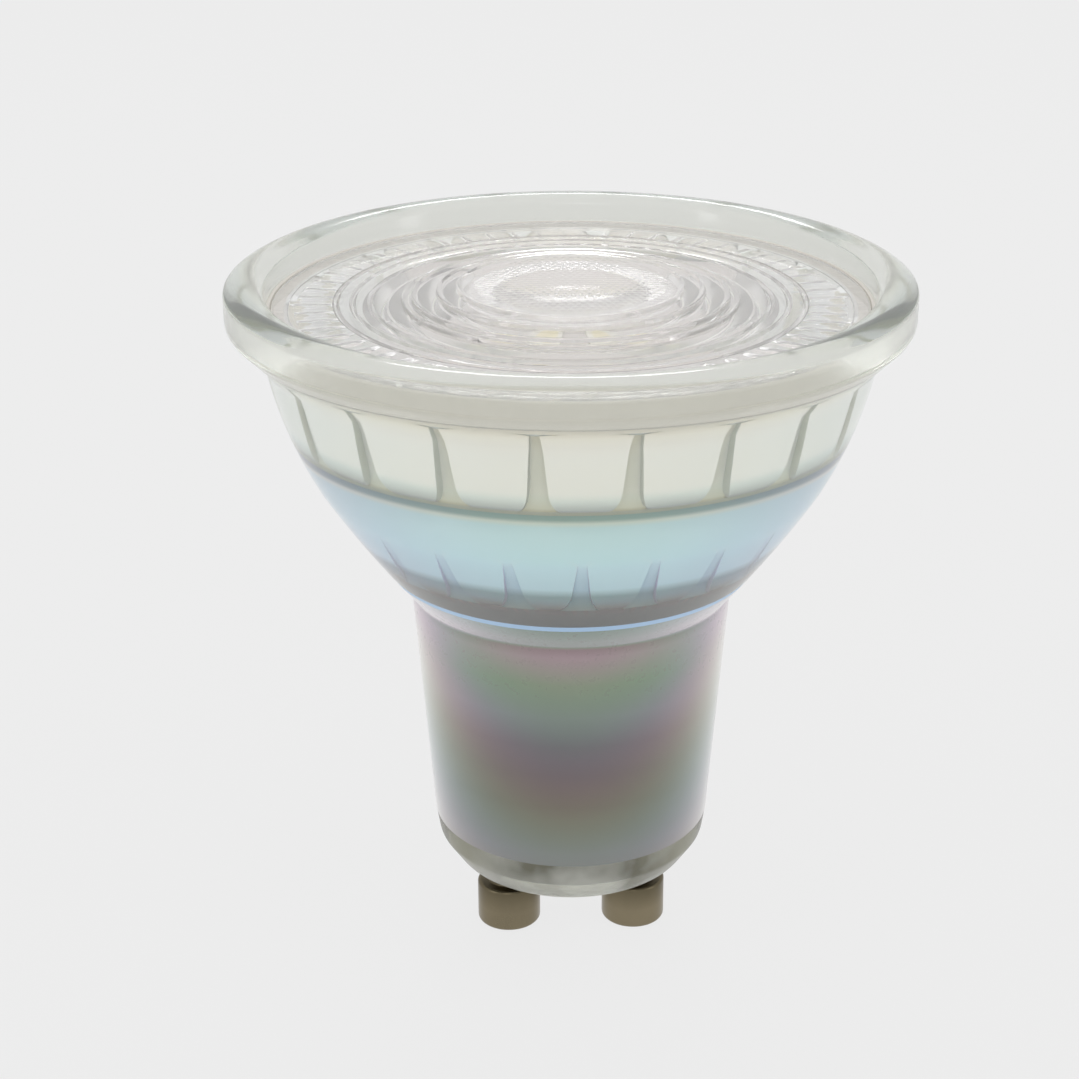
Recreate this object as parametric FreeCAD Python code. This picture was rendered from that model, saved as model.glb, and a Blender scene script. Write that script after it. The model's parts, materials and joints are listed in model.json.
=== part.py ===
"""GU10 reflector spotlight bulb with LEDs, in millimetres.

The bulb stands on its two contact pins. The origin is midway between the pin ends, +Z runs up
the lamp's axis towards the lens, and the pins lie along X.
"""

import math
import os

import FreeCAD
import Part

V = FreeCAD.Vector
AXIS = V(0, 0, 1)
ORIGIN = V(0, 0, 0)

# Contact pins of the twist-lock base
PIN_SPACING = 10.0
PIN_HEAD_RADIUS = 2.5
PIN_HEAD_LENGTH = 3.6
PIN_HEAD_ROUNDING = 0.35
PIN_NECK_RADIUS = 1.6
PIN_EXPOSED_LENGTH = 6.8
PIN_COLLAR_RADIUS = 2.2
PIN_COLLAR_THICKNESS = 0.6
PIN_HOLE_CLEARANCE = 0.05
PIN_WALL_CLEARANCE = 0.3

# Outside of the pressed glass body. Each height and each flare is added to the one before it.
BASE_BEVEL_HEIGHT = 2.9
BASE_BEVEL_WIDTH = 2.4
BASE_EDGE_ROUNDING = 0.8
NECK_HEIGHT = 19.9
NECK_TAPER = 1.55
NECK_FILLET = 0.7
LOWER_BOWL_HEIGHT = 9.4
LOWER_BOWL_FLARE = 6.8
LOWER_BOWL_BULGE = 0.2
UPPER_BOWL_HEIGHT = 9.6
UPPER_BOWL_FLARE = 3.45
UPPER_BOWL_BULGE = 0.42
RIM_BEVEL_HEIGHT = 2.6
RIM_OVERHANG = 2.6
RIM_WALL_HEIGHT = 2.15
RIM_WIDTH = 2.85
RIM_CROWN = 0.65
RIM_TOP_ROUNDING = 0.4
RIM_LOWER_ROUNDING = 0.7
RIM_INNER_ROUNDING = 0.3

# Inside of the glass body
NECK_WALL = 2.5
FLOOR_THICKNESS = 3.7
FLOOR_FILLET = 0.6
FLUTE_COUNT = 20
RIB_WIDTH = 1.0
FLUTE_CORNER = 0.5
LOWER_FLUTE_DROP = 0.2
LOWER_FLUTE_HEIGHT = 4.6
LOWER_FLUTE_WALL = 2.2
LOWER_RIB_DEPTH = 1.6
BAND_WALL = 3.7
UPPER_FLUTE_DROP = 0.1
UPPER_FLUTE_HEIGHT = 5.2
UPPER_FLUTE_WALL = 1.9
UPPER_RIB_DEPTH = 1.9
BOARD_SEAT_DEPTH = 0.3
BOARD_SEAT_WIDTH = 0.85
LENS_SEAT_DEPTH = 2.55
LENS_SEAT_WIDTH = 1.25
LENS_SEAT_DRAFT = 0.2

# Lens
LENS_EDGE_GAP = 0.25
LENS_FLANGE_THICKNESS = 1.2
LENS_SHEET_THICKNESS = 1.4
LENS_DOME_RADIUS = 7.2
LENS_DOME_RISE = 1.1
LENS_DOME_CROWN = 0.2
LENS_STEP_RADII = (7.2, 8.3, 9.8, 11.6, 12.3)
LENS_STEP_LIP = 0.12
LENS_GROOVE_RADII = (14.5, 15.8, 17.0)
LENS_GROOVE_DEPTH = 0.15
LENS_TOOTH_COUNT = 4
LENS_TOOTH_PITCH = 1.9
LENS_FIRST_TOOTH = 7.9
LENS_TOOTH_DEPTH = 2.2
LENS_TOOTH_TIP = 0.2
LENS_BUTTON_RADIUS = 5.6
LENS_BUTTON_DEPTH = 1.5
LENS_KNURL_COUNT = 60
LENS_KNURL_LENGTH = 2.4
LENS_KNURL_FROM_SPIGOT = 0.55
LENS_KNURL_WIDTH = 1.3
LENS_KNURL_DEPTH = 0.35

# Heat spreader, pads and boards
SHEET_CLEARANCE = 0.3
SPREADER_THICKNESS = 0.8
SPREADER_FLOOR_GAP = 3.1
SPREADER_FLANGE_GAP = 0.15
PAD_THICKNESS = 0.2
LED_BOARD_THICKNESS = 1.2
LED_BOARD_GAP = 0.25
LED_BOARD_NOTCH = 1.0

# Insulating sleeve and driver board in the neck
SLEEVE_THICKNESS = 0.6
SLEEVE_GAP = 0.12
SLEEVE_FLOOR_GAP = 2.7
SLEEVE_PAST_NECK = 1.4
DRIVER_BOARD_THICKNESS = 1.0
DRIVER_BOARD_FLOOR_GAP = 5.1
DRIVER_BOARD_HEIGHT = 21.4
DRIVER_BOARD_FRONT = 2.3
DRIVER_BOARD_EDGE_GAP = 0.25
LEAD_RADIUS = 0.25
LEAD_DROP = 0.65
LEAD_PAST_BOARD = 0.6
LEAD_HOLE_CLEARANCE = 0.1
LEAD_FIT = 0.03

# Light-emitting packages and chips on the round board
LED_COUNT = 8
LED_RING_RADIUS = 6.3
LED_SIZE = 3.0
LED_HEIGHT = 0.75
LED_CUP_RADIUS = 1.2
LED_CUP_DEPTH = 0.45
LED_CUP_TAPER = 0.2
BOARD_CHIP_COUNT = 6
BOARD_CHIP_INSET = 4.3
BOARD_CHIP_FIRST_ANGLE = 119.0
BOARD_CHIP_PITCH_ANGLE = 10.6
CHIP_SIZE = (2.0, 1.25, 0.5)

# Pins that join the two boards
HEADER_SPACING = 2.54
HEADER_SIDE = 0.64
HEADER_ABOVE_BOARD = 0.9
HEADER_OVERLAP = 3.0
HEADER_HOLE_CLEARANCE = 0.1
SOLDER_RADIUS = 0.9
SOLDER_TIP_RADIUS = 0.55
SOLDER_HEIGHT = 0.5

# Lead wires from the contact pins to the driver board
WIRE_RADIUS = 0.4
WIRE_FIT = 0.05
WIRE_BORE_DEPTH = 5.0
WIRE_INSULATION_RADIUS = 0.8
WIRE_INSULATION_GAP = 0.3
WIRE_FROM_BOARD_EDGE = 1.2
WIRE_ABOVE_BOARD_BOTTOM = 1.8
WIRE_HOLE_CLEARANCE = 0.2

# Parts on the driver board's front. An offset is along X from the board's middle, and a place is
# (x, height above the board's lower edge).
CAPACITOR_OFFSET = -2.0
CAPACITOR_RADIUS = 3.15
CAPACITOR_HEIGHT = 10.2
CAPACITOR_SLEEVE_THICKNESS = 0.1
CAPACITOR_GROOVE_HEIGHT = 1.6
CAPACITOR_GROOVE_DEPTH = 0.3
CAPACITOR_BUNG_RADIUS = 2.5
CAPACITOR_BUNG_THICKNESS = 1.1
CAPACITOR_LEAD_SPACING = 2.5
CAPACITOR_BOARD_GAP = 0.15
INDUCTOR_OFFSET = 3.9
INDUCTOR_ABOVE_FILM_CAPACITOR = 0.75
INDUCTOR_FLANGE_RADIUS = 2.4
INDUCTOR_CORE_RADIUS = 1.1
INDUCTOR_WINDING_RADIUS = 2.15
INDUCTOR_HEIGHT = 5.0
INDUCTOR_FLANGE_THICKNESS = 0.8
INDUCTOR_LEAD_SPACING = 3.2
FILM_CAPACITOR_PLACE = (3.65, 5.9)
FILM_CAPACITOR_SIZE = (4.6, 3.2, 5.6)
FILM_CAPACITOR_ROUNDING = 0.4
FILM_CAPACITOR_LEAD_SPACING = 5.0
FUSE_OFFSET = -2.6
FUSE_RADIUS = 0.9
FUSE_CAP_RADIUS = 1.1
FUSE_CAP_LENGTH = 0.9
FUSE_LENGTH = 3.9
FUSE_LEAD_SPACING = 5.2

# Parts on the driver board's back. From the board's lower edge up they are the bridge rectifier,
# the control chip and the diode, and the gaps below them share the height that is left over.
RECTIFIER_GAP_SHARE = 0.56
DRIVER_CHIP_GAP_SHARE = 0.30
DIODE_GAP_SHARE = 0.07
PACKAGE_THICKNESS = 1.5
PACKAGE_STANDOFF = 0.1
PACKAGE_DRAFT = 0.12
DRIVER_CHIP_SIZE = (3.9, 4.9)
DRIVER_CHIP_LEAD_PITCH = 1.27
DRIVER_CHIP_LEAD_WIDTH = 0.42
DRIVER_CHIP_LEADS_PER_SIDE = 4
RECTIFIER_SIZE = (3.9, 4.7)
RECTIFIER_LEAD_PITCH = 2.54
RECTIFIER_LEAD_WIDTH = 0.65
RECTIFIER_LEADS_PER_SIDE = 2
DIODE_SIZE = (4.3, 2.5)
DIODE_LEAD_WIDTH = 1.4
LEAD_FOOT = 0.55
LEAD_SHOULDER = 0.3
LEAD_SLOPE = 0.2
LEAD_THICKNESS = 0.2
SIDE_CHIP_OFFSET = 4.5
RESISTOR_HEIGHTS = (4.85, 7.05)
CERAMIC_HEIGHTS = (11.4, 13.9)


def outline(start, *steps):
    """A closed face in the XZ plane. A step is a point for a line, or (middle, end) for an arc."""
    edges = []
    here = start
    for step in (*steps, start):
        if isinstance(step[0], tuple):
            middle, end = step
            edges.append(Part.Arc(at(here), at(middle), at(end)).toShape())
        else:
            end = step
            edges.append(Part.LineSegment(at(here), at(end)).toShape())
        here = end
    return Part.Face(Part.Wire(edges))


def at(point):
    """The vector of a (radius, height) point in the XZ plane."""
    return V(point[0], 0, point[1])


def turned(face, degrees=360.0, centre=0.0):
    """The face revolved about the lamp's axis, over an angle that is centred on a heading."""
    if degrees >= 360.0:
        return face.revolve(ORIGIN, AXIS, 360.0)
    face = face.copy()
    face.rotate(ORIGIN, AXIS, centre - degrees / 2)
    return face.revolve(ORIGIN, AXIS, degrees)


def bulged(start, end, bulge):
    """The middle and the end of an arc that bows outwards by bulge from its chord."""
    along = (end[0] - start[0], end[1] - start[1])
    length = math.hypot(*along)
    middle = (
        (start[0] + end[0]) / 2 + bulge * along[1] / length,
        (start[1] + end[1]) / 2 - bulge * along[0] / length,
    )
    return (middle, end)


def capped(edge, tip_height):
    """The middle and the end of a round cap's arc, from its (radius, height) edge to its tip."""
    rise = tip_height - edge[1]
    ball = (edge[0] ** 2 + rise**2) / (2 * abs(rise))
    half = math.asin(edge[0] / ball) / 2
    middle = (ball * math.sin(half), tip_height - math.copysign(ball * (1 - math.cos(half)), rise))
    return (middle, (0, tip_height))


def rounded_rings(solid, rings):
    """Rounds the circular edges that lie about the axis at each (radius, height)."""
    for (radius, height), rounding in rings:
        found = [
            edge
            for edge in solid.Edges
            if isinstance(edge.Curve, Part.Circle)
            and abs(edge.Curve.Radius - radius) < 1e-4
            and abs(edge.Curve.Center.z - height) < 1e-4
            and math.hypot(edge.Curve.Center.x, edge.Curve.Center.y) < 1e-4
        ]
        solid = solid.makeFillet(rounding, found)
    return solid


def copies(shape, count, first=0.0):
    """Copies of a shape spaced evenly about the lamp's axis."""
    made = []
    for k in range(count):
        copy = shape.copy()
        copy.rotate(ORIGIN, AXIS, first + 360.0 * k / count)
        made.append(copy)
    return made


def box(size, centre, bottom):
    """A box of size (x, y, z) centred on (x, y), standing on a height."""
    corner = V(centre[0] - size[0] / 2, centre[1] - size[1] / 2, bottom)
    return Part.makeBox(size[0], size[1], size[2], corner)


def rod(radius, height, centre, bottom):
    """An upright cylinder."""
    return Part.makeCylinder(radius, height, V(centre[0], centre[1], bottom))


def between(low, high, height):
    """The radius at a height on the straight line between two (radius, height) points."""
    share = (height - low[1]) / (high[1] - low[1])
    return low[0] + share * (high[0] - low[0])


def export(name, shape):
    """Writes one named piece."""
    shape.exportStep(f"parts/{name}.step")


# Heights and radii that several pieces share
FLOOR_HEIGHT = PIN_EXPOSED_LENGTH + FLOOR_THICKNESS
BEVEL_TOP = PIN_EXPOSED_LENGTH + BASE_BEVEL_HEIGHT
NECK_TOP_HEIGHT = BEVEL_TOP + NECK_HEIGHT
WAIST_HEIGHT = NECK_TOP_HEIGHT + LOWER_BOWL_HEIGHT
BOWL_TOP_HEIGHT = WAIST_HEIGHT + UPPER_BOWL_HEIGHT
RIM_UNDERSIDE_HEIGHT = BOWL_TOP_HEIGHT + RIM_BEVEL_HEIGHT
RIM_TOP_HEIGHT = RIM_UNDERSIDE_HEIGHT + RIM_WALL_HEIGHT
LENS_SEAT_HEIGHT = RIM_TOP_HEIGHT - LENS_SEAT_DEPTH
FLOOR_RADIUS = PIN_SPACING / 2 + PIN_COLLAR_RADIUS + PIN_WALL_CLEARANCE
NECK_BOTTOM_RADIUS = FLOOR_RADIUS + FLOOR_FILLET + NECK_WALL
NECK_TOP_RADIUS = NECK_BOTTOM_RADIUS + NECK_TAPER
WAIST_RADIUS = NECK_TOP_RADIUS + LOWER_BOWL_FLARE
BOWL_TOP_RADIUS = WAIST_RADIUS + UPPER_BOWL_FLARE
RIM_RADIUS = BOWL_TOP_RADIUS + RIM_OVERHANG
RIM_INNER_RADIUS = RIM_RADIUS - RIM_WIDTH
LENS_SEAT_RADIUS = RIM_INNER_RADIUS - LENS_SEAT_DRAFT
UPPER_FLUTE_TOP = BOWL_TOP_HEIGHT - UPPER_FLUTE_DROP
UPPER_FLUTE_BOTTOM = UPPER_FLUTE_TOP - UPPER_FLUTE_HEIGHT
BOARD_SEAT_HEIGHT = UPPER_FLUTE_BOTTOM - BOARD_SEAT_DEPTH
LOWER_FLUTE_TOP = WAIST_HEIGHT - LOWER_FLUTE_DROP
LOWER_FLUTE_BOTTOM = LOWER_FLUTE_TOP - LOWER_FLUTE_HEIGHT
DRIVER_BOARD_BACK = DRIVER_BOARD_FRONT + DRIVER_BOARD_THICKNESS
DRIVER_BOARD_BOTTOM = FLOOR_HEIGHT + DRIVER_BOARD_FLOOR_GAP
DRIVER_BOARD_TOP = DRIVER_BOARD_BOTTOM + DRIVER_BOARD_HEIGHT
BASE_FACE_EDGE = (NECK_BOTTOM_RADIUS - BASE_BEVEL_WIDTH, PIN_EXPOSED_LENGTH)
NECK_LOW = (NECK_BOTTOM_RADIUS, BEVEL_TOP)
NECK_HIGH = (NECK_TOP_RADIUS, NECK_TOP_HEIGHT)
WAIST = (WAIST_RADIUS, WAIST_HEIGHT)
BOWL_HIGH = (BOWL_TOP_RADIUS, BOWL_TOP_HEIGHT)


def glass_radius(height):
    """The outer radius of the bowl at a height, along the chords of its two arcs."""
    if height < WAIST_HEIGHT:
        return between(NECK_HIGH, WAIST, height) + LOWER_BOWL_BULGE
    return between(WAIST, BOWL_HIGH, height) + UPPER_BOWL_BULGE


# The glass body's inner surface, from the lens seat down to the floor
UPPER_TOP = (LENS_SEAT_RADIUS - LENS_SEAT_WIDTH, UPPER_FLUTE_TOP)
UPPER_ROOT = (glass_radius(UPPER_FLUTE_BOTTOM) - UPPER_FLUTE_WALL, UPPER_FLUTE_BOTTOM)
UPPER_CREST = (UPPER_ROOT[0] - UPPER_RIB_DEPTH, UPPER_FLUTE_BOTTOM)
SEAT_OUTER = (UPPER_CREST[0], BOARD_SEAT_HEIGHT)
SEAT_INNER = (UPPER_CREST[0] - BOARD_SEAT_WIDTH, BOARD_SEAT_HEIGHT)
LOWER_TOP = (glass_radius(LOWER_FLUTE_TOP) - BAND_WALL, LOWER_FLUTE_TOP)
LOWER_ROOT = (glass_radius(LOWER_FLUTE_BOTTOM) - LOWER_FLUTE_WALL, LOWER_FLUTE_BOTTOM)
LOWER_CREST = (LOWER_ROOT[0] - LOWER_RIB_DEPTH, LOWER_FLUTE_BOTTOM)
NECK_INNER_TOP = (NECK_TOP_RADIUS - NECK_WALL, NECK_TOP_HEIGHT + NECK_WALL)
NECK_INNER_BOTTOM = (between(NECK_LOW, NECK_HIGH, FLOOR_HEIGHT) - NECK_WALL, FLOOR_HEIGHT)
BOWL_INSIDE = (SEAT_INNER, LOWER_TOP, LOWER_CREST, NECK_INNER_TOP)


def package_above(height, gap_share, size):
    """The place of a package above a height on the board's back, and the height of its top."""
    parts = RECTIFIER_SIZE[1] + DRIVER_CHIP_SIZE[1] + DIODE_SIZE[1]
    free_height = DRIVER_BOARD_HEIGHT - HEADER_OVERLAP - parts
    middle = height + gap_share * free_height + size[1] / 2
    return (0.0, middle), middle + size[1] / 2


RECTIFIER_PLACE, RECTIFIER_TOP = package_above(0.0, RECTIFIER_GAP_SHARE, RECTIFIER_SIZE)
DRIVER_CHIP_PLACE, DRIVER_CHIP_TOP = package_above(
    RECTIFIER_TOP, DRIVER_CHIP_GAP_SHARE, DRIVER_CHIP_SIZE
)
DIODE_PLACE, _ = package_above(DRIVER_CHIP_TOP, DIODE_GAP_SHARE, DIODE_SIZE)

# The tall capacitor's leads come out between two of those packages
CHIP_GAP_MIDDLE = (RECTIFIER_TOP + DRIVER_CHIP_TOP - DRIVER_CHIP_SIZE[1]) / 2
CAPACITOR_PLACE = (CAPACITOR_OFFSET, CHIP_GAP_MIDDLE + LEAD_DROP)
FUSE_PLACE = (FUSE_OFFSET, RECTIFIER_PLACE[1])
INDUCTOR_BOTTOM = (
    FILM_CAPACITOR_PLACE[1] + FILM_CAPACITOR_SIZE[2] / 2 + INDUCTOR_ABOVE_FILM_CAPACITOR
)
INDUCTOR_PLACE = (INDUCTOR_OFFSET, INDUCTOR_BOTTOM + INDUCTOR_HEIGHT / 2)


def glass_body():
    """Pressed glass cup: bevelled base, tapered neck, fluted bowl and rolled rim."""
    outside = outline(
        (0, PIN_EXPOSED_LENGTH),
        BASE_FACE_EDGE,
        NECK_LOW,
        NECK_HIGH,
        bulged(NECK_HIGH, WAIST, LOWER_BOWL_BULGE),
        bulged(WAIST, BOWL_HIGH, UPPER_BOWL_BULGE),
        (RIM_RADIUS, RIM_UNDERSIDE_HEIGHT),
        (RIM_RADIUS, RIM_TOP_HEIGHT),
        bulged((RIM_RADIUS, RIM_TOP_HEIGHT), (RIM_INNER_RADIUS, RIM_TOP_HEIGHT), RIM_CROWN),
        (0, RIM_TOP_HEIGHT),
    )
    body = rounded_rings(
        turned(outside),
        [
            (NECK_LOW, BASE_EDGE_ROUNDING),
            (NECK_HIGH, NECK_FILLET),
            ((RIM_RADIUS, RIM_UNDERSIDE_HEIGHT), RIM_LOWER_ROUNDING),
            ((RIM_RADIUS, RIM_TOP_HEIGHT), RIM_TOP_ROUNDING),
        ],
    )
    body = body.cut(glass_cavity())
    body = rounded_rings(body, [((RIM_INNER_RADIUS, RIM_TOP_HEIGHT), RIM_INNER_ROUNDING)])
    upper = bevelled_flute(flute(UPPER_TOP, UPPER_ROOT, UPPER_CREST), UPPER_TOP, UPPER_ROOT)
    lower = flute(LOWER_TOP, LOWER_ROOT, LOWER_CREST)
    pitch = 360.0 / FLUTE_COUNT
    body = body.cut(copies(upper, FLUTE_COUNT))
    body = body.cut(copies(lower, FLUTE_COUNT, first=pitch / 2))
    for side in (-1, 1):
        hole = rod(
            PIN_NECK_RADIUS + PIN_HOLE_CLEARANCE,
            2 * FLOOR_THICKNESS,
            (side * PIN_SPACING / 2, 0),
            PIN_EXPOSED_LENGTH - FLOOR_THICKNESS / 2,
        )
        body = body.cut(hole)
    return body


def glass_cavity():
    """The round hollow inside the glass, up to the crests of the ribs."""
    seat_inner = (LENS_SEAT_RADIUS - LENS_SEAT_WIDTH, LENS_SEAT_HEIGHT)
    face = outline(
        (0, FLOOR_HEIGHT),
        NECK_INNER_BOTTOM,
        NECK_INNER_TOP,
        LOWER_CREST,
        LOWER_TOP,
        SEAT_INNER,
        SEAT_OUTER,
        UPPER_CREST,
        UPPER_TOP,
        seat_inner,
        (LENS_SEAT_RADIUS, LENS_SEAT_HEIGHT),
        (RIM_INNER_RADIUS, RIM_TOP_HEIGHT),
        (0, RIM_TOP_HEIGHT),
    )
    return rounded_rings(turned(face), [(NECK_INNER_BOTTOM, FLOOR_FILLET)])


def flute(top, root, crest):
    """One pocket in the glass wall. It starts flush at its top and is deepest at its floor."""
    inward = 2.0
    face = outline((top[0] - inward, top[1]), top, root, (crest[0] - inward / 2, crest[1]))
    pitch = 360.0 / FLUTE_COUNT
    rib_angle = math.degrees(RIB_WIDTH / crest[0])
    return turned(face, pitch - rib_angle)


def bevelled_flute(pocket, top, root):
    """The pocket with its outer upright corners bevelled."""
    corners = [
        edge
        for edge in pocket.Edges
        if all(
            math.hypot(v.X, v.Y) > between(root, top, v.Z) - 1e-4 for v in edge.Vertexes
        )
        and abs(edge.Vertexes[0].Z - edge.Vertexes[1].Z) > FLUTE_CORNER
    ]
    return pocket.makeChamfer(FLUTE_CORNER, corners)


LENS_FACE_HEIGHT = LENS_SEAT_HEIGHT + LENS_FLANGE_THICKNESS
LENS_BACK_HEIGHT = LENS_FACE_HEIGHT - LENS_SHEET_THICKNESS
LENS_RADIUS = LENS_SEAT_RADIUS - LENS_EDGE_GAP
LENS_SPIGOT_RADIUS = LENS_SEAT_RADIUS - LENS_SEAT_WIDTH - LENS_EDGE_GAP


def lens_top_points():
    """The stepped dome and the grooves of the lens's face, from its edge to its dome."""
    points = []
    for radius in reversed(LENS_GROOVE_RADII):
        points += [
            (radius + LENS_GROOVE_DEPTH, LENS_FACE_HEIGHT),
            (radius, LENS_FACE_HEIGHT - LENS_GROOVE_DEPTH),
            (radius - LENS_GROOVE_DEPTH, LENS_FACE_HEIGHT),
        ]
    height = LENS_FACE_HEIGHT
    points.append((LENS_STEP_RADII[-1], height))
    rise = LENS_DOME_RISE / (len(LENS_STEP_RADII) - 1)
    for radius in reversed(LENS_STEP_RADII[:-1]):
        height += rise
        outer = LENS_STEP_RADII[LENS_STEP_RADII.index(radius) + 1]
        points.append((outer - LENS_STEP_LIP, height - LENS_STEP_LIP))
        points.append((radius, height))
    return points


def lens_back_points():
    """The reflecting teeth of the lens's back, from its button to its edge."""
    points = []
    for k in range(LENS_TOOTH_COUNT):
        tip = LENS_FIRST_TOOTH + k * LENS_TOOTH_PITCH
        points += [
            (tip - LENS_TOOTH_TIP, LENS_BACK_HEIGHT),
            (tip, LENS_BACK_HEIGHT - LENS_TOOTH_DEPTH),
            (tip + LENS_TOOTH_TIP, LENS_BACK_HEIGHT - LENS_TOOTH_DEPTH),
            (tip + LENS_TOOTH_PITCH - 2 * LENS_TOOTH_TIP, LENS_BACK_HEIGHT),
        ]
    return points


def front_lens():
    """Moulded clear lens: stepped dome, reflecting teeth behind it, and a knurled edge."""
    button_edge = (LENS_BUTTON_RADIUS, LENS_BACK_HEIGHT)
    crown = LENS_FACE_HEIGHT + LENS_DOME_RISE + LENS_DOME_CROWN
    button_middle, button_tip = capped(button_edge, LENS_BACK_HEIGHT - LENS_BUTTON_DEPTH)
    top = lens_top_points()
    face = outline(
        button_tip,
        (button_middle, button_edge),
        *lens_back_points(),
        (LENS_SPIGOT_RADIUS, LENS_BACK_HEIGHT),
        (LENS_SPIGOT_RADIUS, LENS_SEAT_HEIGHT),
        (LENS_RADIUS, LENS_SEAT_HEIGHT),
        (LENS_RADIUS, LENS_FACE_HEIGHT),
        *top,
        capped(top[-1], crown),
    )
    return turned(face).cut(copies(knurl_groove(), LENS_KNURL_COUNT))


def knurl_groove():
    """One radial V-groove of the lens's back edge, at heading 0."""
    start = LENS_SPIGOT_RADIUS - LENS_KNURL_FROM_SPIGOT - LENS_KNURL_LENGTH
    low = LENS_BACK_HEIGHT - LENS_KNURL_DEPTH
    points = [
        V(start, 0, LENS_BACK_HEIGHT + LENS_KNURL_DEPTH),
        V(start, LENS_KNURL_WIDTH, low),
        V(start, -LENS_KNURL_WIDTH, low),
    ]
    return Part.Face(Part.makePolygon(points + points[:1])).extrude(V(LENS_KNURL_LENGTH, 0, 0))


def lens_seal():
    """Clear adhesive ring between the lens's edge and the glass."""
    bead = LENS_FLANGE_THICKNESS
    outer_low = between(
        (LENS_SEAT_RADIUS, LENS_SEAT_HEIGHT), (RIM_INNER_RADIUS, RIM_TOP_HEIGHT), LENS_SEAT_HEIGHT
    )
    outer_high = between(
        (LENS_SEAT_RADIUS, LENS_SEAT_HEIGHT),
        (RIM_INNER_RADIUS, RIM_TOP_HEIGHT),
        LENS_SEAT_HEIGHT + bead,
    )
    return turned(
        outline(
            (LENS_RADIUS, LENS_SEAT_HEIGHT),
            (outer_low, LENS_SEAT_HEIGHT),
            (outer_high, LENS_SEAT_HEIGHT + bead),
            (LENS_RADIUS, LENS_SEAT_HEIGHT + bead),
        )
    )


def contact_pin(side):
    """Plated contact pin: rounded head, neck, shank through the glass, and a spread collar."""
    x = side * PIN_SPACING / 2
    head = rod(PIN_HEAD_RADIUS, PIN_HEAD_LENGTH, (0, 0), 0)
    head = rounded_rings(head, [((PIN_HEAD_RADIUS, 0), PIN_HEAD_ROUNDING)])
    top = FLOOR_HEIGHT + PIN_COLLAR_THICKNESS
    shank = rod(PIN_NECK_RADIUS, top - PIN_HEAD_LENGTH, (0, 0), PIN_HEAD_LENGTH)
    collar = rod(PIN_COLLAR_RADIUS, PIN_COLLAR_THICKNESS, (0, 0), FLOOR_HEIGHT)
    pin = head.fuse([shank, collar]).removeSplitter()
    bore = rod(WIRE_RADIUS + WIRE_FIT, WIRE_BORE_DEPTH, (0, 0), top - WIRE_BORE_DEPTH)
    pin = pin.cut(bore)
    pin.translate(V(x, 0, 0))
    return pin


def spreader_outside():
    """The funnel's outer line, a clearance inside the glass, from its flange to its foot."""
    line = [(radius - SHEET_CLEARANCE, height) for radius, height in BOWL_INSIDE]
    low = FLOOR_HEIGHT + SPREADER_FLOOR_GAP
    foot = between(NECK_INNER_BOTTOM, NECK_INNER_TOP, low) - SHEET_CLEARANCE
    return line + [(foot, low)]


def heat_spreader():
    """Spun aluminium funnel that carries heat from the board into the glass."""
    outside = spreader_outside()
    flange_radius = SEAT_OUTER[0] - SPREADER_FLANGE_GAP
    flange_top = BOARD_SEAT_HEIGHT + SPREADER_THICKNESS
    inside = [(radius - SPREADER_THICKNESS, height) for radius, height in outside]
    first = (inside[0][0], flange_top)
    return turned(
        outline(
            outside[-1],
            *reversed(outside[:-1]),
            (flange_radius, BOARD_SEAT_HEIGHT),
            (flange_radius, flange_top),
            first,
            *inside[1:],
        )
    )


FLANGE_INNER = SEAT_INNER[0] - SHEET_CLEARANCE - SPREADER_THICKNESS
PAD_BOTTOM = BOARD_SEAT_HEIGHT + SPREADER_THICKNESS
LED_BOARD_BOTTOM = PAD_BOTTOM + PAD_THICKNESS
LED_BOARD_TOP = LED_BOARD_BOTTOM + LED_BOARD_THICKNESS
LED_BOARD_RADIUS = SEAT_OUTER[0] - LED_BOARD_GAP


def thermal_pad():
    """Thin heat-conducting ring between the funnel's flange and the board."""
    pad = rod(LED_BOARD_RADIUS, PAD_THICKNESS, (0, 0), PAD_BOTTOM)
    return pad.cut(rod(FLANGE_INNER, 3 * PAD_THICKNESS, (0, 0), PAD_BOTTOM - PAD_THICKNESS))


def header_places():
    """The (x, y) places of the two pins that join the boards."""
    y = DRIVER_BOARD_BACK + HEADER_SIDE / 2
    return [(side * HEADER_SPACING / 2, y) for side in (-1, 1)]


def led_board():
    """Aluminium-core disc with two pin holes and two notches in its edge."""
    board = rod(LED_BOARD_RADIUS, LED_BOARD_THICKNESS, (0, 0), LED_BOARD_BOTTOM)
    hole = HEADER_SIDE + 2 * HEADER_HOLE_CLEARANCE
    cuts = [
        box((hole, hole, 3 * LED_BOARD_THICKNESS), place, LED_BOARD_BOTTOM - LED_BOARD_THICKNESS)
        for place in header_places()
    ]
    for side in (-1, 1):
        place = (side * LED_BOARD_RADIUS, 0)
        cuts.append(
            rod(LED_BOARD_NOTCH, 3 * LED_BOARD_THICKNESS, place, LED_BOARD_BOTTOM - LED_BOARD_THICKNESS)
        )
    return board.cut(cuts)


def led_cup():
    """The tapered well in a package, which the phosphor fills."""
    bottom = LED_BOARD_TOP + LED_HEIGHT - LED_CUP_DEPTH
    return Part.makeCone(
        LED_CUP_RADIUS - LED_CUP_TAPER,
        LED_CUP_RADIUS,
        LED_CUP_DEPTH,
        V(LED_RING_RADIUS, 0, bottom),
    )


def led_case():
    """White package body with its well, at heading 0."""
    case = box((LED_SIZE, LED_SIZE, LED_HEIGHT), (LED_RING_RADIUS, 0), LED_BOARD_TOP)
    return case.cut(led_cup())


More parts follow.
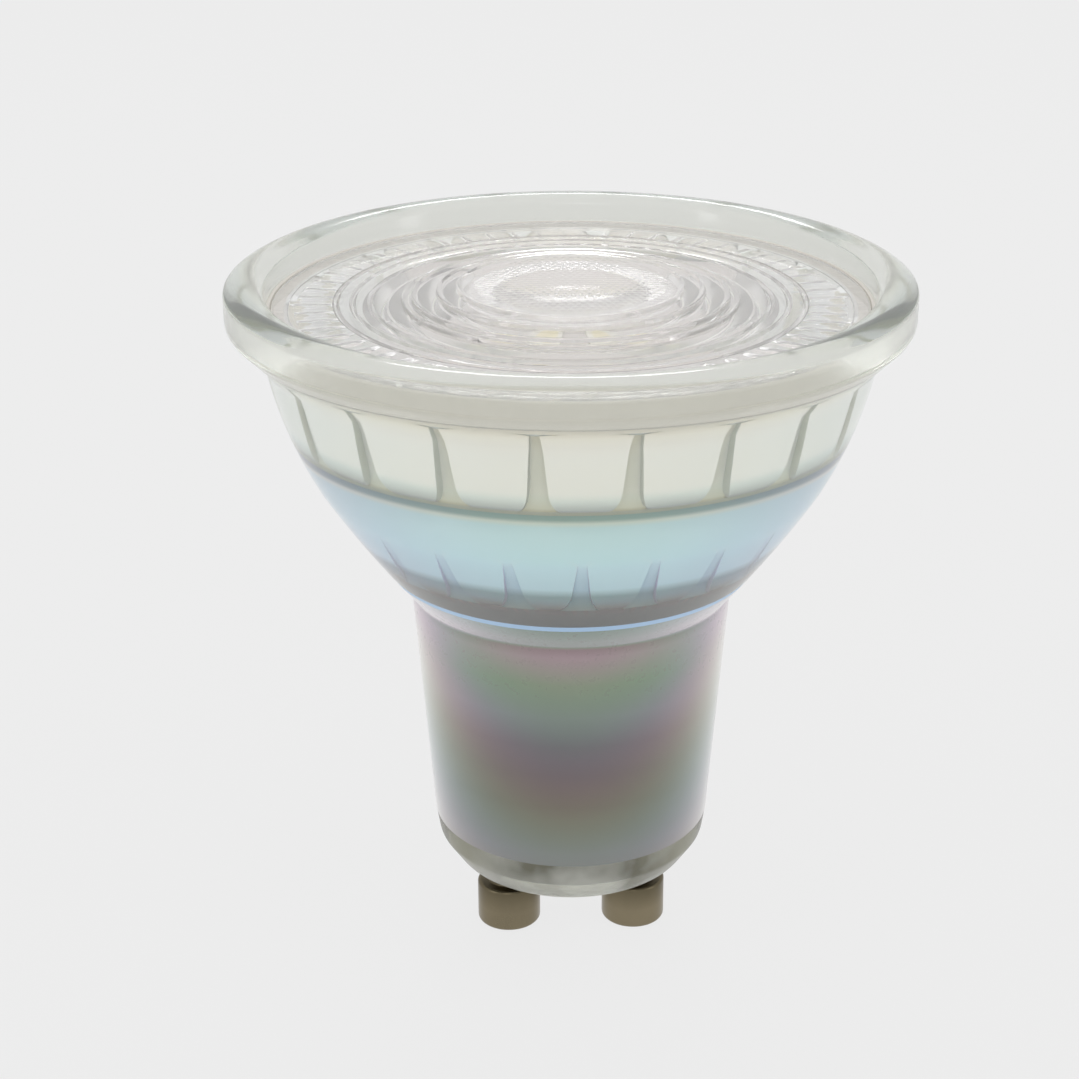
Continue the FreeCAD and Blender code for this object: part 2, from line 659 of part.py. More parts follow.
def board_resistors():
    """A row of chip resistors along an arc of the round board."""
    chips = []
    for k in range(BOARD_CHIP_COUNT):
        chip = box(CHIP_SIZE, (LED_BOARD_RADIUS - BOARD_CHIP_INSET, 0), LED_BOARD_TOP)
        chip.rotate(ORIGIN, AXIS, BOARD_CHIP_FIRST_ANGLE + k * BOARD_CHIP_PITCH_ANGLE)
        chips.append(chip)
    return Part.makeCompound(chips)


def header_pin(place):
    """Square pin soldered to the driver board, standing up through the round board."""
    low = DRIVER_BOARD_TOP - HEADER_OVERLAP
    high = LED_BOARD_TOP + HEADER_ABOVE_BOARD
    return box((HEADER_SIDE, HEADER_SIDE, high - low), place, low)


def header_solder():
    """Solder cones round the two header pins on the round board."""
    joints = []
    for place in header_places():
        foot = V(place[0], place[1], LED_BOARD_TOP)
        cone = Part.makeCone(SOLDER_RADIUS, SOLDER_TIP_RADIUS, SOLDER_HEIGHT, foot)
        pin = box((HEADER_SIDE, HEADER_SIDE, 3 * SOLDER_HEIGHT), place, LED_BOARD_TOP - SOLDER_HEIGHT)
        joints.append(cone.cut(pin))
    return Part.makeCompound(joints)


def sleeve_radius(height):
    """The inner radius of the insulating sleeve at a height."""
    gap = SHEET_CLEARANCE + SPREADER_THICKNESS + SLEEVE_GAP + SLEEVE_THICKNESS
    return between(NECK_INNER_BOTTOM, NECK_INNER_TOP, height) - gap


def insulating_sleeve():
    """White plastic tube that lines the funnel's neck."""
    low = FLOOR_HEIGHT + SLEEVE_FLOOR_GAP
    high = NECK_TOP_HEIGHT + SLEEVE_PAST_NECK
    return turned(
        outline(
            (sleeve_radius(low), low),
            (sleeve_radius(low) + SLEEVE_THICKNESS, low),
            (sleeve_radius(high) + SLEEVE_THICKNESS, high),
            (sleeve_radius(high), high),
        )
    )


def board_half_width():
    """Half the driver board's width, which fits inside the sleeve at the board's lower edge."""
    room = sleeve_radius(DRIVER_BOARD_BOTTOM) - DRIVER_BOARD_EDGE_GAP
    return math.sqrt(room**2 - DRIVER_BOARD_BACK**2)


def on_board(place):
    """The x and the true height of a place on the driver board."""
    return place[0], DRIVER_BOARD_BOTTOM + place[1]


def paired(place, spacing):
    """Two places spaced evenly along the board's height about a place."""
    return [(place[0], place[1] + side * spacing / 2) for side in (-1, 1)]


def wire_end(side):
    """The place where a lead wire enters the driver board."""
    return side * (board_half_width() - WIRE_FROM_BOARD_EDGE), WIRE_ABOVE_BOARD_BOTTOM


def capacitor_lead_places():
    """The places of the tall capacitor's two leads, just under its bung."""
    x, height = CAPACITOR_PLACE
    below = height - LEAD_DROP
    return [(x + side * CAPACITOR_LEAD_SPACING / 2, below) for side in (-1, 1)]


def driver_board():
    """Upright circuit board in the neck, with a hole for each lead."""
    board = box(
        (2 * board_half_width(), DRIVER_BOARD_THICKNESS, DRIVER_BOARD_HEIGHT),
        (0, DRIVER_BOARD_FRONT + DRIVER_BOARD_THICKNESS / 2),
        DRIVER_BOARD_BOTTOM,
    )
    leads = capacitor_lead_places()
    leads += paired(INDUCTOR_PLACE, INDUCTOR_LEAD_SPACING)
    leads += paired(FILM_CAPACITOR_PLACE, FILM_CAPACITOR_LEAD_SPACING)
    leads += paired(FUSE_PLACE, FUSE_LEAD_SPACING)
    holes = [through_board(place, LEAD_RADIUS + LEAD_HOLE_CLEARANCE) for place in leads]
    holes += [through_board(wire_end(side), WIRE_RADIUS + WIRE_HOLE_CLEARANCE) for side in (-1, 1)]
    return board.cut(holes)


def through_board(place, radius):
    """A cylinder that crosses the driver board at a place."""
    x, height = on_board(place)
    start = V(x, DRIVER_BOARD_FRONT - DRIVER_BOARD_THICKNESS, height)
    return Part.makeCylinder(radius, 3 * DRIVER_BOARD_THICKNESS, start, V(0, 1, 0))


def straight_lead(place, start):
    """A straight lead from a depth y, out past the driver board's back."""
    x, height = on_board(place)
    end = DRIVER_BOARD_BACK + LEAD_PAST_BOARD
    return Part.makeCylinder(LEAD_RADIUS, end - start, V(x, start, height), V(0, 1, 0))


def mitred_rod(radius, start, corner, end):
    """A thin round wire along two straight lengths that meet at a sharp corner."""
    path = Part.Wire(Part.makePolygon([start, corner, end]))
    ring = Part.Wire(Part.Circle(start, corner - start, radius).toShape())
    return path.makePipeShell([ring], True, True, 1)


def wire_along(side, radius, start, depth):
    """A rod on a lead wire's line, from a height in its pin, through its hole, to a depth y."""
    x, height = on_board(wire_end(side))
    pin_x = side * PIN_SPACING / 2
    hole_y = DRIVER_BOARD_FRONT + DRIVER_BOARD_THICKNESS / 2
    corner = V(pin_x, 0, height)
    leg = V(x - pin_x, hole_y, 0)
    return mitred_rod(radius, V(pin_x, 0, start), corner, corner + leg * (depth / hole_y))


def lead_wire(side):
    """Tinned wire crimped in a contact pin and soldered through the driver board."""
    start = FLOOR_HEIGHT + PIN_COLLAR_THICKNESS - WIRE_BORE_DEPTH
    return wire_along(side, WIRE_RADIUS, start, DRIVER_BOARD_BACK + LEAD_PAST_BOARD)


def wire_insulation(side):
    """Insulating tube on a lead wire, between the pin and the board."""
    start = FLOOR_HEIGHT + PIN_COLLAR_THICKNESS + WIRE_INSULATION_GAP
    end = DRIVER_BOARD_FRONT - WIRE_INSULATION_GAP
    tube = wire_along(side, WIRE_INSULATION_RADIUS, start, end)
    bore = wire_along(side, WIRE_RADIUS + WIRE_FIT, start - WIRE_INSULATION_GAP, DRIVER_BOARD_FRONT)
    return tube.cut(bore)


def wire_solder():
    """Solder cones round the lead wires on the driver board's back."""
    joints = []
    for side in (-1, 1):
        x, height = on_board(wire_end(side))
        foot = V(x, DRIVER_BOARD_BACK, height)
        cone = Part.makeCone(SOLDER_RADIUS, SOLDER_TIP_RADIUS, SOLDER_HEIGHT, foot, V(0, 1, 0))
        past_cone = DRIVER_BOARD_BACK + 2 * SOLDER_HEIGHT
        joints.append(cone.cut(wire_along(side, WIRE_RADIUS + LEAD_FIT, FLOOR_HEIGHT, past_cone)))
    return Part.makeCompound(joints)


def capacitor_centre():
    """The x, the y and the lower end of the tall capacitor."""
    x, bottom = on_board(CAPACITOR_PLACE)
    reach = CAPACITOR_RADIUS + CAPACITOR_SLEEVE_THICKNESS + CAPACITOR_BOARD_GAP
    return x, DRIVER_BOARD_FRONT - reach, bottom


def stood(shape):
    """A shape made on the lamp's axis at height 0, moved to the tall capacitor's place."""
    shape.translate(V(*capacitor_centre()))
    return shape


def capacitor_can():
    """Aluminium can with its rolled groove and a crossed vent pressed into its top."""
    low = CAPACITOR_GROOVE_HEIGHT - CAPACITOR_GROOVE_DEPTH
    high = CAPACITOR_GROOVE_HEIGHT + CAPACITOR_GROOVE_DEPTH
    waist = CAPACITOR_RADIUS - CAPACITOR_GROOVE_DEPTH
    can = turned(
        outline(
            (0, CAPACITOR_BUNG_THICKNESS),
            (CAPACITOR_BUNG_RADIUS, CAPACITOR_BUNG_THICKNESS),
            (CAPACITOR_BUNG_RADIUS, 0),
            (CAPACITOR_RADIUS, 0),
            (CAPACITOR_RADIUS, low),
            (waist, CAPACITOR_GROOVE_HEIGHT),
            (CAPACITOR_RADIUS, high),
            (CAPACITOR_RADIUS, CAPACITOR_HEIGHT),
            (0, CAPACITOR_HEIGHT),
        )
    )
    can = rounded_rings(can, [((CAPACITOR_RADIUS, CAPACITOR_HEIGHT), CAPACITOR_GROOVE_DEPTH)])
    score = CAPACITOR_SLEEVE_THICKNESS
    slots = [
        box((score, CAPACITOR_RADIUS, 2 * score), (0, 0), CAPACITOR_HEIGHT - score),
        box((CAPACITOR_RADIUS, score, 2 * score), (0, 0), CAPACITOR_HEIGHT - score),
    ]
    return stood(can.cut(slots))


def capacitor_sleeve():
    """Shrunk plastic sleeve round the can."""
    sleeve = rod(CAPACITOR_RADIUS + CAPACITOR_SLEEVE_THICKNESS, CAPACITOR_HEIGHT, (0, 0), 0)
    inside = rod(CAPACITOR_RADIUS, 3 * CAPACITOR_HEIGHT, (0, 0), -CAPACITOR_HEIGHT)
    return stood(sleeve.cut(inside))


def capacitor_bung():
    """Rubber plug in the can's mouth, bored for its two leads."""
    bung = rod(CAPACITOR_BUNG_RADIUS, CAPACITOR_BUNG_THICKNESS, (0, 0), 0)
    for side in (-1, 1):
        place = (side * CAPACITOR_LEAD_SPACING / 2, 0)
        bore = rod(LEAD_RADIUS + LEAD_FIT, CAPACITOR_BUNG_THICKNESS, place, 0)
        bung = bung.cut(bore)
    return stood(bung)


def capacitor_leads():
    """Two leads that leave the bung and bend through the board."""
    _, y, bottom = capacitor_centre()
    leads = []
    for place in capacitor_lead_places():
        x, height = on_board(place)
        leads.append(
            mitred_rod(
                LEAD_RADIUS,
                V(x, y, bottom + CAPACITOR_BUNG_THICKNESS),
                V(x, y, height),
                V(x, DRIVER_BOARD_BACK + LEAD_PAST_BOARD, height),
            )
        )
    return Part.makeCompound(leads)


def towards_back(shape, place):
    """A shape made upright on the axis, laid along +Y to end on the driver board at a place."""
    x, height = on_board(place)
    shape.rotate(ORIGIN, V(1, 0, 0), -90)
    shape.translate(V(x, DRIVER_BOARD_FRONT, height))
    return shape


def inductor_core():
    """Ferrite drum that stands on the board by its flange."""
    flange = INDUCTOR_FLANGE_THICKNESS
    core = turned(
        outline(
            (0, -INDUCTOR_HEIGHT),
            (INDUCTOR_FLANGE_RADIUS, -INDUCTOR_HEIGHT),
            (INDUCTOR_FLANGE_RADIUS, flange - INDUCTOR_HEIGHT),
            (INDUCTOR_CORE_RADIUS, flange - INDUCTOR_HEIGHT),
            (INDUCTOR_CORE_RADIUS, -flange),
            (INDUCTOR_FLANGE_RADIUS, -flange),
            (INDUCTOR_FLANGE_RADIUS, 0),
            (0, 0),
        )
    )
    return towards_back(core, INDUCTOR_PLACE)


def inductor_winding():
    """Copper winding on the drum, between its flanges."""
    width = INDUCTOR_HEIGHT - 2 * INDUCTOR_FLANGE_THICKNESS
    bottom = INDUCTOR_FLANGE_THICKNESS - INDUCTOR_HEIGHT
    winding = rod(INDUCTOR_WINDING_RADIUS, width, (0, 0), bottom)
    core = rod(INDUCTOR_CORE_RADIUS + LEAD_FIT, 3 * width, (0, 0), bottom - width)
    return towards_back(winding.cut(core), INDUCTOR_PLACE)


def inductor_leads():
    """Two pins from the drum's foot through the board."""
    places = paired(INDUCTOR_PLACE, INDUCTOR_LEAD_SPACING)
    return Part.makeCompound([straight_lead(place, DRIVER_BOARD_FRONT) for place in places])


def film_capacitor():
    """Dipped film capacitor, a block with rounded edges."""
    width, depth, length = FILM_CAPACITOR_SIZE
    x, middle = on_board(FILM_CAPACITOR_PLACE)
    corner = V(x - width / 2, DRIVER_BOARD_FRONT - depth, middle - length / 2)
    block = Part.makeBox(width, depth, length, corner)
    edges = [edge for edge in block.Edges if edge.CenterOfMass.y < DRIVER_BOARD_FRONT - LEAD_RADIUS]
    return block.makeFillet(FILM_CAPACITOR_ROUNDING, edges)


def film_capacitor_leads():
    """Two leads of the film capacitor."""
    places = paired(FILM_CAPACITOR_PLACE, FILM_CAPACITOR_LEAD_SPACING)
    return Part.makeCompound([straight_lead(place, DRIVER_BOARD_FRONT) for place in places])


def fuse_resistor():
    """Fusible resistor that lies along the board, thicker at its end caps."""
    half = FUSE_LENGTH / 2
    body = turned(
        outline(
            (0, -half),
            (FUSE_CAP_RADIUS, -half),
            (FUSE_CAP_RADIUS, FUSE_CAP_LENGTH - half),
            (FUSE_RADIUS, FUSE_CAP_LENGTH - half + FUSE_CAP_RADIUS - FUSE_RADIUS),
            (FUSE_RADIUS, half - FUSE_CAP_LENGTH - FUSE_CAP_RADIUS + FUSE_RADIUS),
            (FUSE_CAP_RADIUS, half - FUSE_CAP_LENGTH),
            (FUSE_CAP_RADIUS, half),
            (0, half),
        )
    )
    x, middle = on_board(FUSE_PLACE)
    body.translate(V(x, DRIVER_BOARD_FRONT - FUSE_CAP_RADIUS, middle))
    return body


def fuse_resistor_leads():
    """Two leads that leave the resistor's ends and bend through the board."""
    y = DRIVER_BOARD_FRONT - FUSE_CAP_RADIUS
    x, middle = on_board(FUSE_PLACE)
    leads = []
    for side in (-1, 1):
        height = middle + side * FUSE_LEAD_SPACING / 2
        leads.append(
            mitred_rod(
                LEAD_RADIUS,
                V(x, y, middle + side * FUSE_LENGTH / 2),
                V(x, y, height),
                V(x, DRIVER_BOARD_BACK + LEAD_PAST_BOARD, height),
            )
        )
    return Part.makeCompound(leads)


def package(place, size):
    """Moulded package on the board's back, drafted from its middle to its top and foot."""
    x, middle = on_board(place)
    width, length = size
    low = DRIVER_BOARD_BACK + PACKAGE_STANDOFF
    high = low + PACKAGE_THICKNESS
    sections = [(low, PACKAGE_DRAFT), ((low + high) / 2, 0), (high, PACKAGE_DRAFT)]
    rings = []
    for y, inset in sections:
        half_x = width / 2 - inset
        half_z = length / 2 - inset
        corners = [(-half_x, -half_z), (half_x, -half_z), (half_x, half_z), (-half_x, half_z)]
        points = [V(x + dx, y, middle + dz) for dx, dz in corners]
        rings.append(Part.makePolygon(points + points[:1]))
    return Part.makeLoft(rings, True, True)


def package_leads(place, size, width, count=1, pitch=0.0):
    """Bent flat leads along both sides of a package, down to the board's back."""
    x, middle = on_board(place)
    level = PACKAGE_STANDOFF + PACKAGE_THICKNESS / 2
    root = size[0] / 2
    bend = root + LEAD_SHOULDER
    foot = bend + LEAD_SLOPE
    profile = [
        (root, level - LEAD_THICKNESS / 2),
        (root, level + LEAD_THICKNESS / 2),
        (bend, level + LEAD_THICKNESS / 2),
        (foot, LEAD_THICKNESS),
        (foot + LEAD_FOOT, LEAD_THICKNESS),
        (foot + LEAD_FOOT, 0),
        (foot - LEAD_THICKNESS / 2, 0),
        (bend - LEAD_THICKNESS / 2, level - LEAD_THICKNESS / 2),
    ]
    made = []
    for side in (-1, 1):
        for k in range(count):
            start = middle + (k - (count - 1) / 2) * pitch - width / 2
            points = [V(x + side * px, DRIVER_BOARD_BACK + py, start) for px, py in profile]
            face = Part.Face(Part.makePolygon(points + points[:1]))
            made.append(face.extrude(V(0, 0, width)))
    return Part.makeCompound(made)


def driver_chip_leads():
    """The leads of the driver's control chip."""
    return package_leads(
        DRIVER_CHIP_PLACE,
        DRIVER_CHIP_SIZE,
        DRIVER_CHIP_LEAD_WIDTH,
        DRIVER_CHIP_LEADS_PER_SIDE,
        DRIVER_CHIP_LEAD_PITCH,
    )


def bridge_rectifier_leads():
    """The leads of the bridge rectifier."""
    return package_leads(
        RECTIFIER_PLACE,
        RECTIFIER_SIZE,
        RECTIFIER_LEAD_WIDTH,
        RECTIFIER_LEADS_PER_SIDE,
        RECTIFIER_LEAD_PITCH,
    )


def side_chips(sides, heights):
    """Chip parts near the side edges of the driver board's back."""
    length, width, thickness = CHIP_SIZE
    chips = []
    for side in sides:
        for place_height in heights:
            x, height = on_board((side * SIDE_CHIP_OFFSET, place_height))
            corner = V(x - width / 2, DRIVER_BOARD_BACK, height - length / 2)
            chips.append(Part.makeBox(width, thickness, length, corner))
    return Part.makeCompound(chips)


def export_glass_and_lens():
    export("glass_body", glass_body())
    export("front_lens", front_lens())
    export("lens_seal", lens_seal())


def export_light_engine():
    export("heat_spreader", heat_spreader())
    export("thermal_pad", thermal_pad())
    export("led_board", led_board())
    first = 180.0 / LED_COUNT
    for number, case in enumerate(copies(led_case(), LED_COUNT, first), 1):
        export(f"led_case_{number}", case)
    for number, phosphor in enumerate(copies(led_cup(), LED_COUNT, first), 1):
        export(f"led_phosphor_{number}", phosphor)
    export("board_resistors", board_resistors())
    for name, place in zip(("left", "right"), header_places()):
        export(f"header_pin_{name}", header_pin(place))
    export("header_solder", header_solder())


def export_base_and_wires():
    for name, side in (("left", -1), ("right", 1)):
        export(f"contact_pin_{name}", contact_pin(side))
        export(f"lead_wire_{name}", lead_wire(side))
        export(f"wire_insulation_{name}", wire_insulation(side))
    export("lead_wire_solder", wire_solder())


def export_driver():
    export("insulating_sleeve", insulating_sleeve())
    export("driver_board", driver_board())
    export("capacitor_can", capacitor_can())
    export("capacitor_sleeve", capacitor_sleeve())
    export("capacitor_bung", capacitor_bung())
    export("capacitor_leads", capacitor_leads())
    export("inductor_core", inductor_core())
    export("inductor_winding", inductor_winding())
    export("inductor_leads", inductor_leads())
    export("film_capacitor", film_capacitor())
    export("film_capacitor_leads", film_capacitor_leads())
    export("fuse_resistor", fuse_resistor())
    export("fuse_resistor_leads", fuse_resistor_leads())
    export("driver_chip", package(DRIVER_CHIP_PLACE, DRIVER_CHIP_SIZE))
    export("driver_chip_leads", driver_chip_leads())
    export("bridge_rectifier", package(RECTIFIER_PLACE, RECTIFIER_SIZE))
    export("bridge_rectifier_leads", bridge_rectifier_leads())
    export("output_diode", package(DIODE_PLACE, DIODE_SIZE))
    export("output_diode_leads", package_leads(DIODE_PLACE, DIODE_SIZE, DIODE_LEAD_WIDTH))
    export("driver_resistors", side_chips((-1, 1), RESISTOR_HEIGHTS))
    export("driver_capacitors", side_chips((-1,), CERAMIC_HEIGHTS))


os.makedirs("parts", exist_ok=True)
export_glass_and_lens()
export_light_engine()
export_base_and_wires()
export_driver()
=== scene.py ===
"""Looks of a twist-lock reflector bulb with a pressed glass body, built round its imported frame."""

import json
import math

import bmesh
import bpy
from mathutils import Matrix, Vector

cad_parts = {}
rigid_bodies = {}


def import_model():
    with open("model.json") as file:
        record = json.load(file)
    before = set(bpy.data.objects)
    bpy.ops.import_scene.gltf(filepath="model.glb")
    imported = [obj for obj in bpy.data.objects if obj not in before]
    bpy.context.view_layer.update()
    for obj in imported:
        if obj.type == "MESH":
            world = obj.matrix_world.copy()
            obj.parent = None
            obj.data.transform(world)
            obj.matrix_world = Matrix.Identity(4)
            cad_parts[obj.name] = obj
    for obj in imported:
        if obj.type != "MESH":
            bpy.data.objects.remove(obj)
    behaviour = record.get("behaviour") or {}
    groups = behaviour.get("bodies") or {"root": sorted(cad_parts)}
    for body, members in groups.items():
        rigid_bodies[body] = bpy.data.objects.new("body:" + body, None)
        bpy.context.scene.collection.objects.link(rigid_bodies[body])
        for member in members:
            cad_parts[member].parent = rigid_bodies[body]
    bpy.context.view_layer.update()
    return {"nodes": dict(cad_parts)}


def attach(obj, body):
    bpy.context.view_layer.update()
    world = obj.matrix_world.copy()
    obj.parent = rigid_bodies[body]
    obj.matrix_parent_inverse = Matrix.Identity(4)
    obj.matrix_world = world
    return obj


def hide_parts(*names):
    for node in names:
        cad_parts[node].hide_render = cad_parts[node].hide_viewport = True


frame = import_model()
nodes = frame["nodes"]

# Sizes in millimetres
MM = 0.001
FLUTES = 20
PITCH = 360.0 / FLUTES
RIB_HALF_AT_TOP = 0.28
RIB_HALF_AT_FOOT = 0.7
WALL_WIDTH = 0.03
FOOT_REACH = 0.85
BASE_FACE = 6.8
FLOOR = 10.5
FLOOR_RADIUS = 7.7
BEVEL_TOP = 9.7
NECK_FOOT_RADIUS = 10.6
NECK_TOP = 29.6
NECK_TOP_RADIUS = 12.15
WAIST = (18.95, 39.0)
BOWL_TOP = (22.4, 48.6)
RIM_RADIUS = 24.99
RIM_TOP = 53.35
SEAT_EDGE_RADIUS = 20.7
BOARD_SEAT = 43.0
UPPER_FLUTE_TOP = 50.1
UPPER_FLUTE_FOOT = 43.3
LOWER_FLUTE_TOP = 38.8
LOWER_FLUTE_FOOT = 34.2
NECK_MOUTH = (9.65, 32.1)
COAT_BOTTOM = 10.75
COAT_BOTTOM_RADIUS = 10.682
COAT_TOP = 31.7
BLUE_TOP = 32.2
PIN_SPACING = 10.0
PIN_HOLE = 1.65
PIN_HEAD_RADIUS = 2.5
PIN_HEAD_HEIGHT = 3.6
PIN_NECK_RADIUS = 1.6
PIN_COLLAR_RADIUS = 2.2
PIN_COLLAR_HEIGHT = 0.6
LENS_FACE = 52.0
LENS_BACK = 50.6
LENS_SEAT = 50.8
LENS_RADIUS = 21.7
LENS_STEP = 0.275
DOME_RADIUS = 7.2
SEAL_TOP = 51.95
TEETH = 4
TOOTH_DEPTH = 2.2

# How much of the painted shade on a rib wall the rib's own crest takes
RIB_SHADE = 0.12

# Zones of the glass body: which finish each ring of faces takes
BASE, COAT, BLUE, CLEAR, SEAT, UPPER, LOWER, INSIDE = range(8)


# Meshes

def line_with_rounds(corners, steps=5):
    """Points of a line through (radius, height, rounding) corners."""
    line = []
    for i, (r, z, rounding) in enumerate(corners):
        here = Vector((r, z))
        if not rounding:
            line.append((r, z))
            continue
        back = (Vector(corners[i - 1][:2]) - here).normalized()
        ahead = (Vector(corners[i + 1][:2]) - here).normalized()
        inside = back.angle(ahead)
        reach = rounding / math.tan(inside / 2)
        centre = here + (back + ahead).normalized() * (rounding / math.sin(inside / 2))
        first = here + back * reach - centre
        last = here + ahead * reach - centre
        sweep = math.pi - inside
        for k in range(steps + 1):
            t = k / steps
            arm = (first * math.sin((1 - t) * sweep) + last * math.sin(t * sweep)) / math.sin(sweep)
            line.append(tuple(centre + arm))
    return line


def bowed(start, end, bulge, steps):
    """Points after start, up to end, on a shallow arc that bows outwards by bulge."""
    (r0, z0), (r1, z1) = start, end
    length = math.hypot(r1 - r0, z1 - z0)
    points = []
    for k in range(1, steps + 1):
        t = k / steps
        out = 4 * bulge * t * (1 - t) / length
        points.append((r0 + (r1 - r0) * t + out * (z1 - z0), z0 + (z1 - z0) * t - out * (r1 - r0)))
    return points


def mesh_object(name, points, faces):
    """A mesh object from points in millimetres."""
    mesh = bpy.data.meshes.new(name)
    mesh.from_pydata([[c * MM for c in p] for p in points], [], faces)
    made = bpy.data.objects.new(name, mesh)
    bpy.context.scene.collection.objects.link(made)
    return made


def turned(name, line, steps):
    """A line of (radius, height) points turned about the lamp's axis."""
    points, faces = [], []
    for r, z in line:
        for k in range(steps):
            angle = 2 * math.pi * k / steps
            points.append((r * math.cos(angle), r * math.sin(angle), z))
    for i in range(len(line) - 1):
        for k in range(steps):
            n = (k + 1) % steps
            faces.append((i * steps + k, i * steps + n, (i + 1) * steps + n, (i + 1) * steps + k))
    return mesh_object(name, points, faces)


def cleaned(piece, sharp=35.0):
    """Merges the doubles, points every face outwards and keeps only real edges sharp."""
    bm = bmesh.new()
    bm.from_mesh(piece.data)
    bmesh.ops.remove_doubles(bm, verts=bm.verts, dist=1e-6)
    bmesh.ops.dissolve_degenerate(bm, edges=bm.edges, dist=1e-7)
    bmesh.ops.recalc_face_normals(bm, faces=bm.faces)
    bm.to_mesh(piece.data)
    bm.free()
    piece.data.shade_smooth()
    piece.data.set_sharp_from_angle(angle=math.radians(sharp))
    return piece


# Geometry nodes

class Tree:
    """A geometry node tree with named inputs."""

    def __init__(self, name, **sizes):
        self.tree = bpy.data.node_groups.new(name, "GeometryNodeTree")
        self.tree.interface.new_socket("Geometry", in_out="INPUT", socket_type="NodeSocketGeometry")
        self.ids = {}
        for label, value in sizes.items():
            kind = "NodeSocketInt" if isinstance(value, int) else "NodeSocketFloat"
            if isinstance(value, bpy.types.Material):
                kind = "NodeSocketMaterial"
            socket = self.tree.interface.new_socket(
                label.replace("_", " "), in_out="INPUT", socket_type=kind
            )
            self.ids[label] = socket.identifier
        self.tree.interface.new_socket("Geometry", in_out="OUTPUT", socket_type="NodeSocketGeometry")
        self.sizes = sizes
        self.inputs = self.tree.nodes.new("NodeGroupInput")
        self.outputs = self.tree.nodes.new("NodeGroupOutput")

    def size(self, label):
        return self.inputs.outputs[label.replace("_", " ")]

    def add(self, kind, *values, out=0, **settings):
        """Adds a node, feeds its enabled inputs in order and gives one of its outputs."""
        node = self.tree.nodes.new(kind)
        for key, value in settings.items():
            setattr(node, key, value)
        sockets = [s for s in node.inputs if s.enabled]
        for socket, value in zip(sockets, values):
            if value is None:
                continue
            if isinstance(value, bpy.types.NodeSocket):
                self.tree.links.new(value, socket)
            else:
                socket.default_value = value
        enabled = [s for s in node.outputs if s.enabled]
        return enabled[out]

    def math(self, operation, *values):
        return self.add("ShaderNodeMath", *values, operation=operation)

    def vector(self, operation, *values):
        return self.add("ShaderNodeVectorMath", *values, operation=operation)

    def finish(self, geometry):
        self.tree.links.new(geometry, self.outputs.inputs[0])

    def grow(self, name, start):
        """Runs the tree on a start object and keeps the result as a plain mesh object."""
        modifier = start.modifiers.new(self.tree.name, "NODES")
        modifier.node_group = self.tree
        for label, value in self.sizes.items():
            modifier[self.ids[label]] = value
        bpy.context.view_layer.update()
        result = start.evaluated_get(bpy.context.evaluated_depsgraph_get())
        mesh = bpy.data.meshes.new_from_object(result)
        start.modifiers.remove(modifier)
        bpy.data.objects.remove(start)
        mesh.name = name
        made = bpy.data.objects.new(name, mesh)
        bpy.context.scene.collection.objects.link(made)
        return made


# Materials

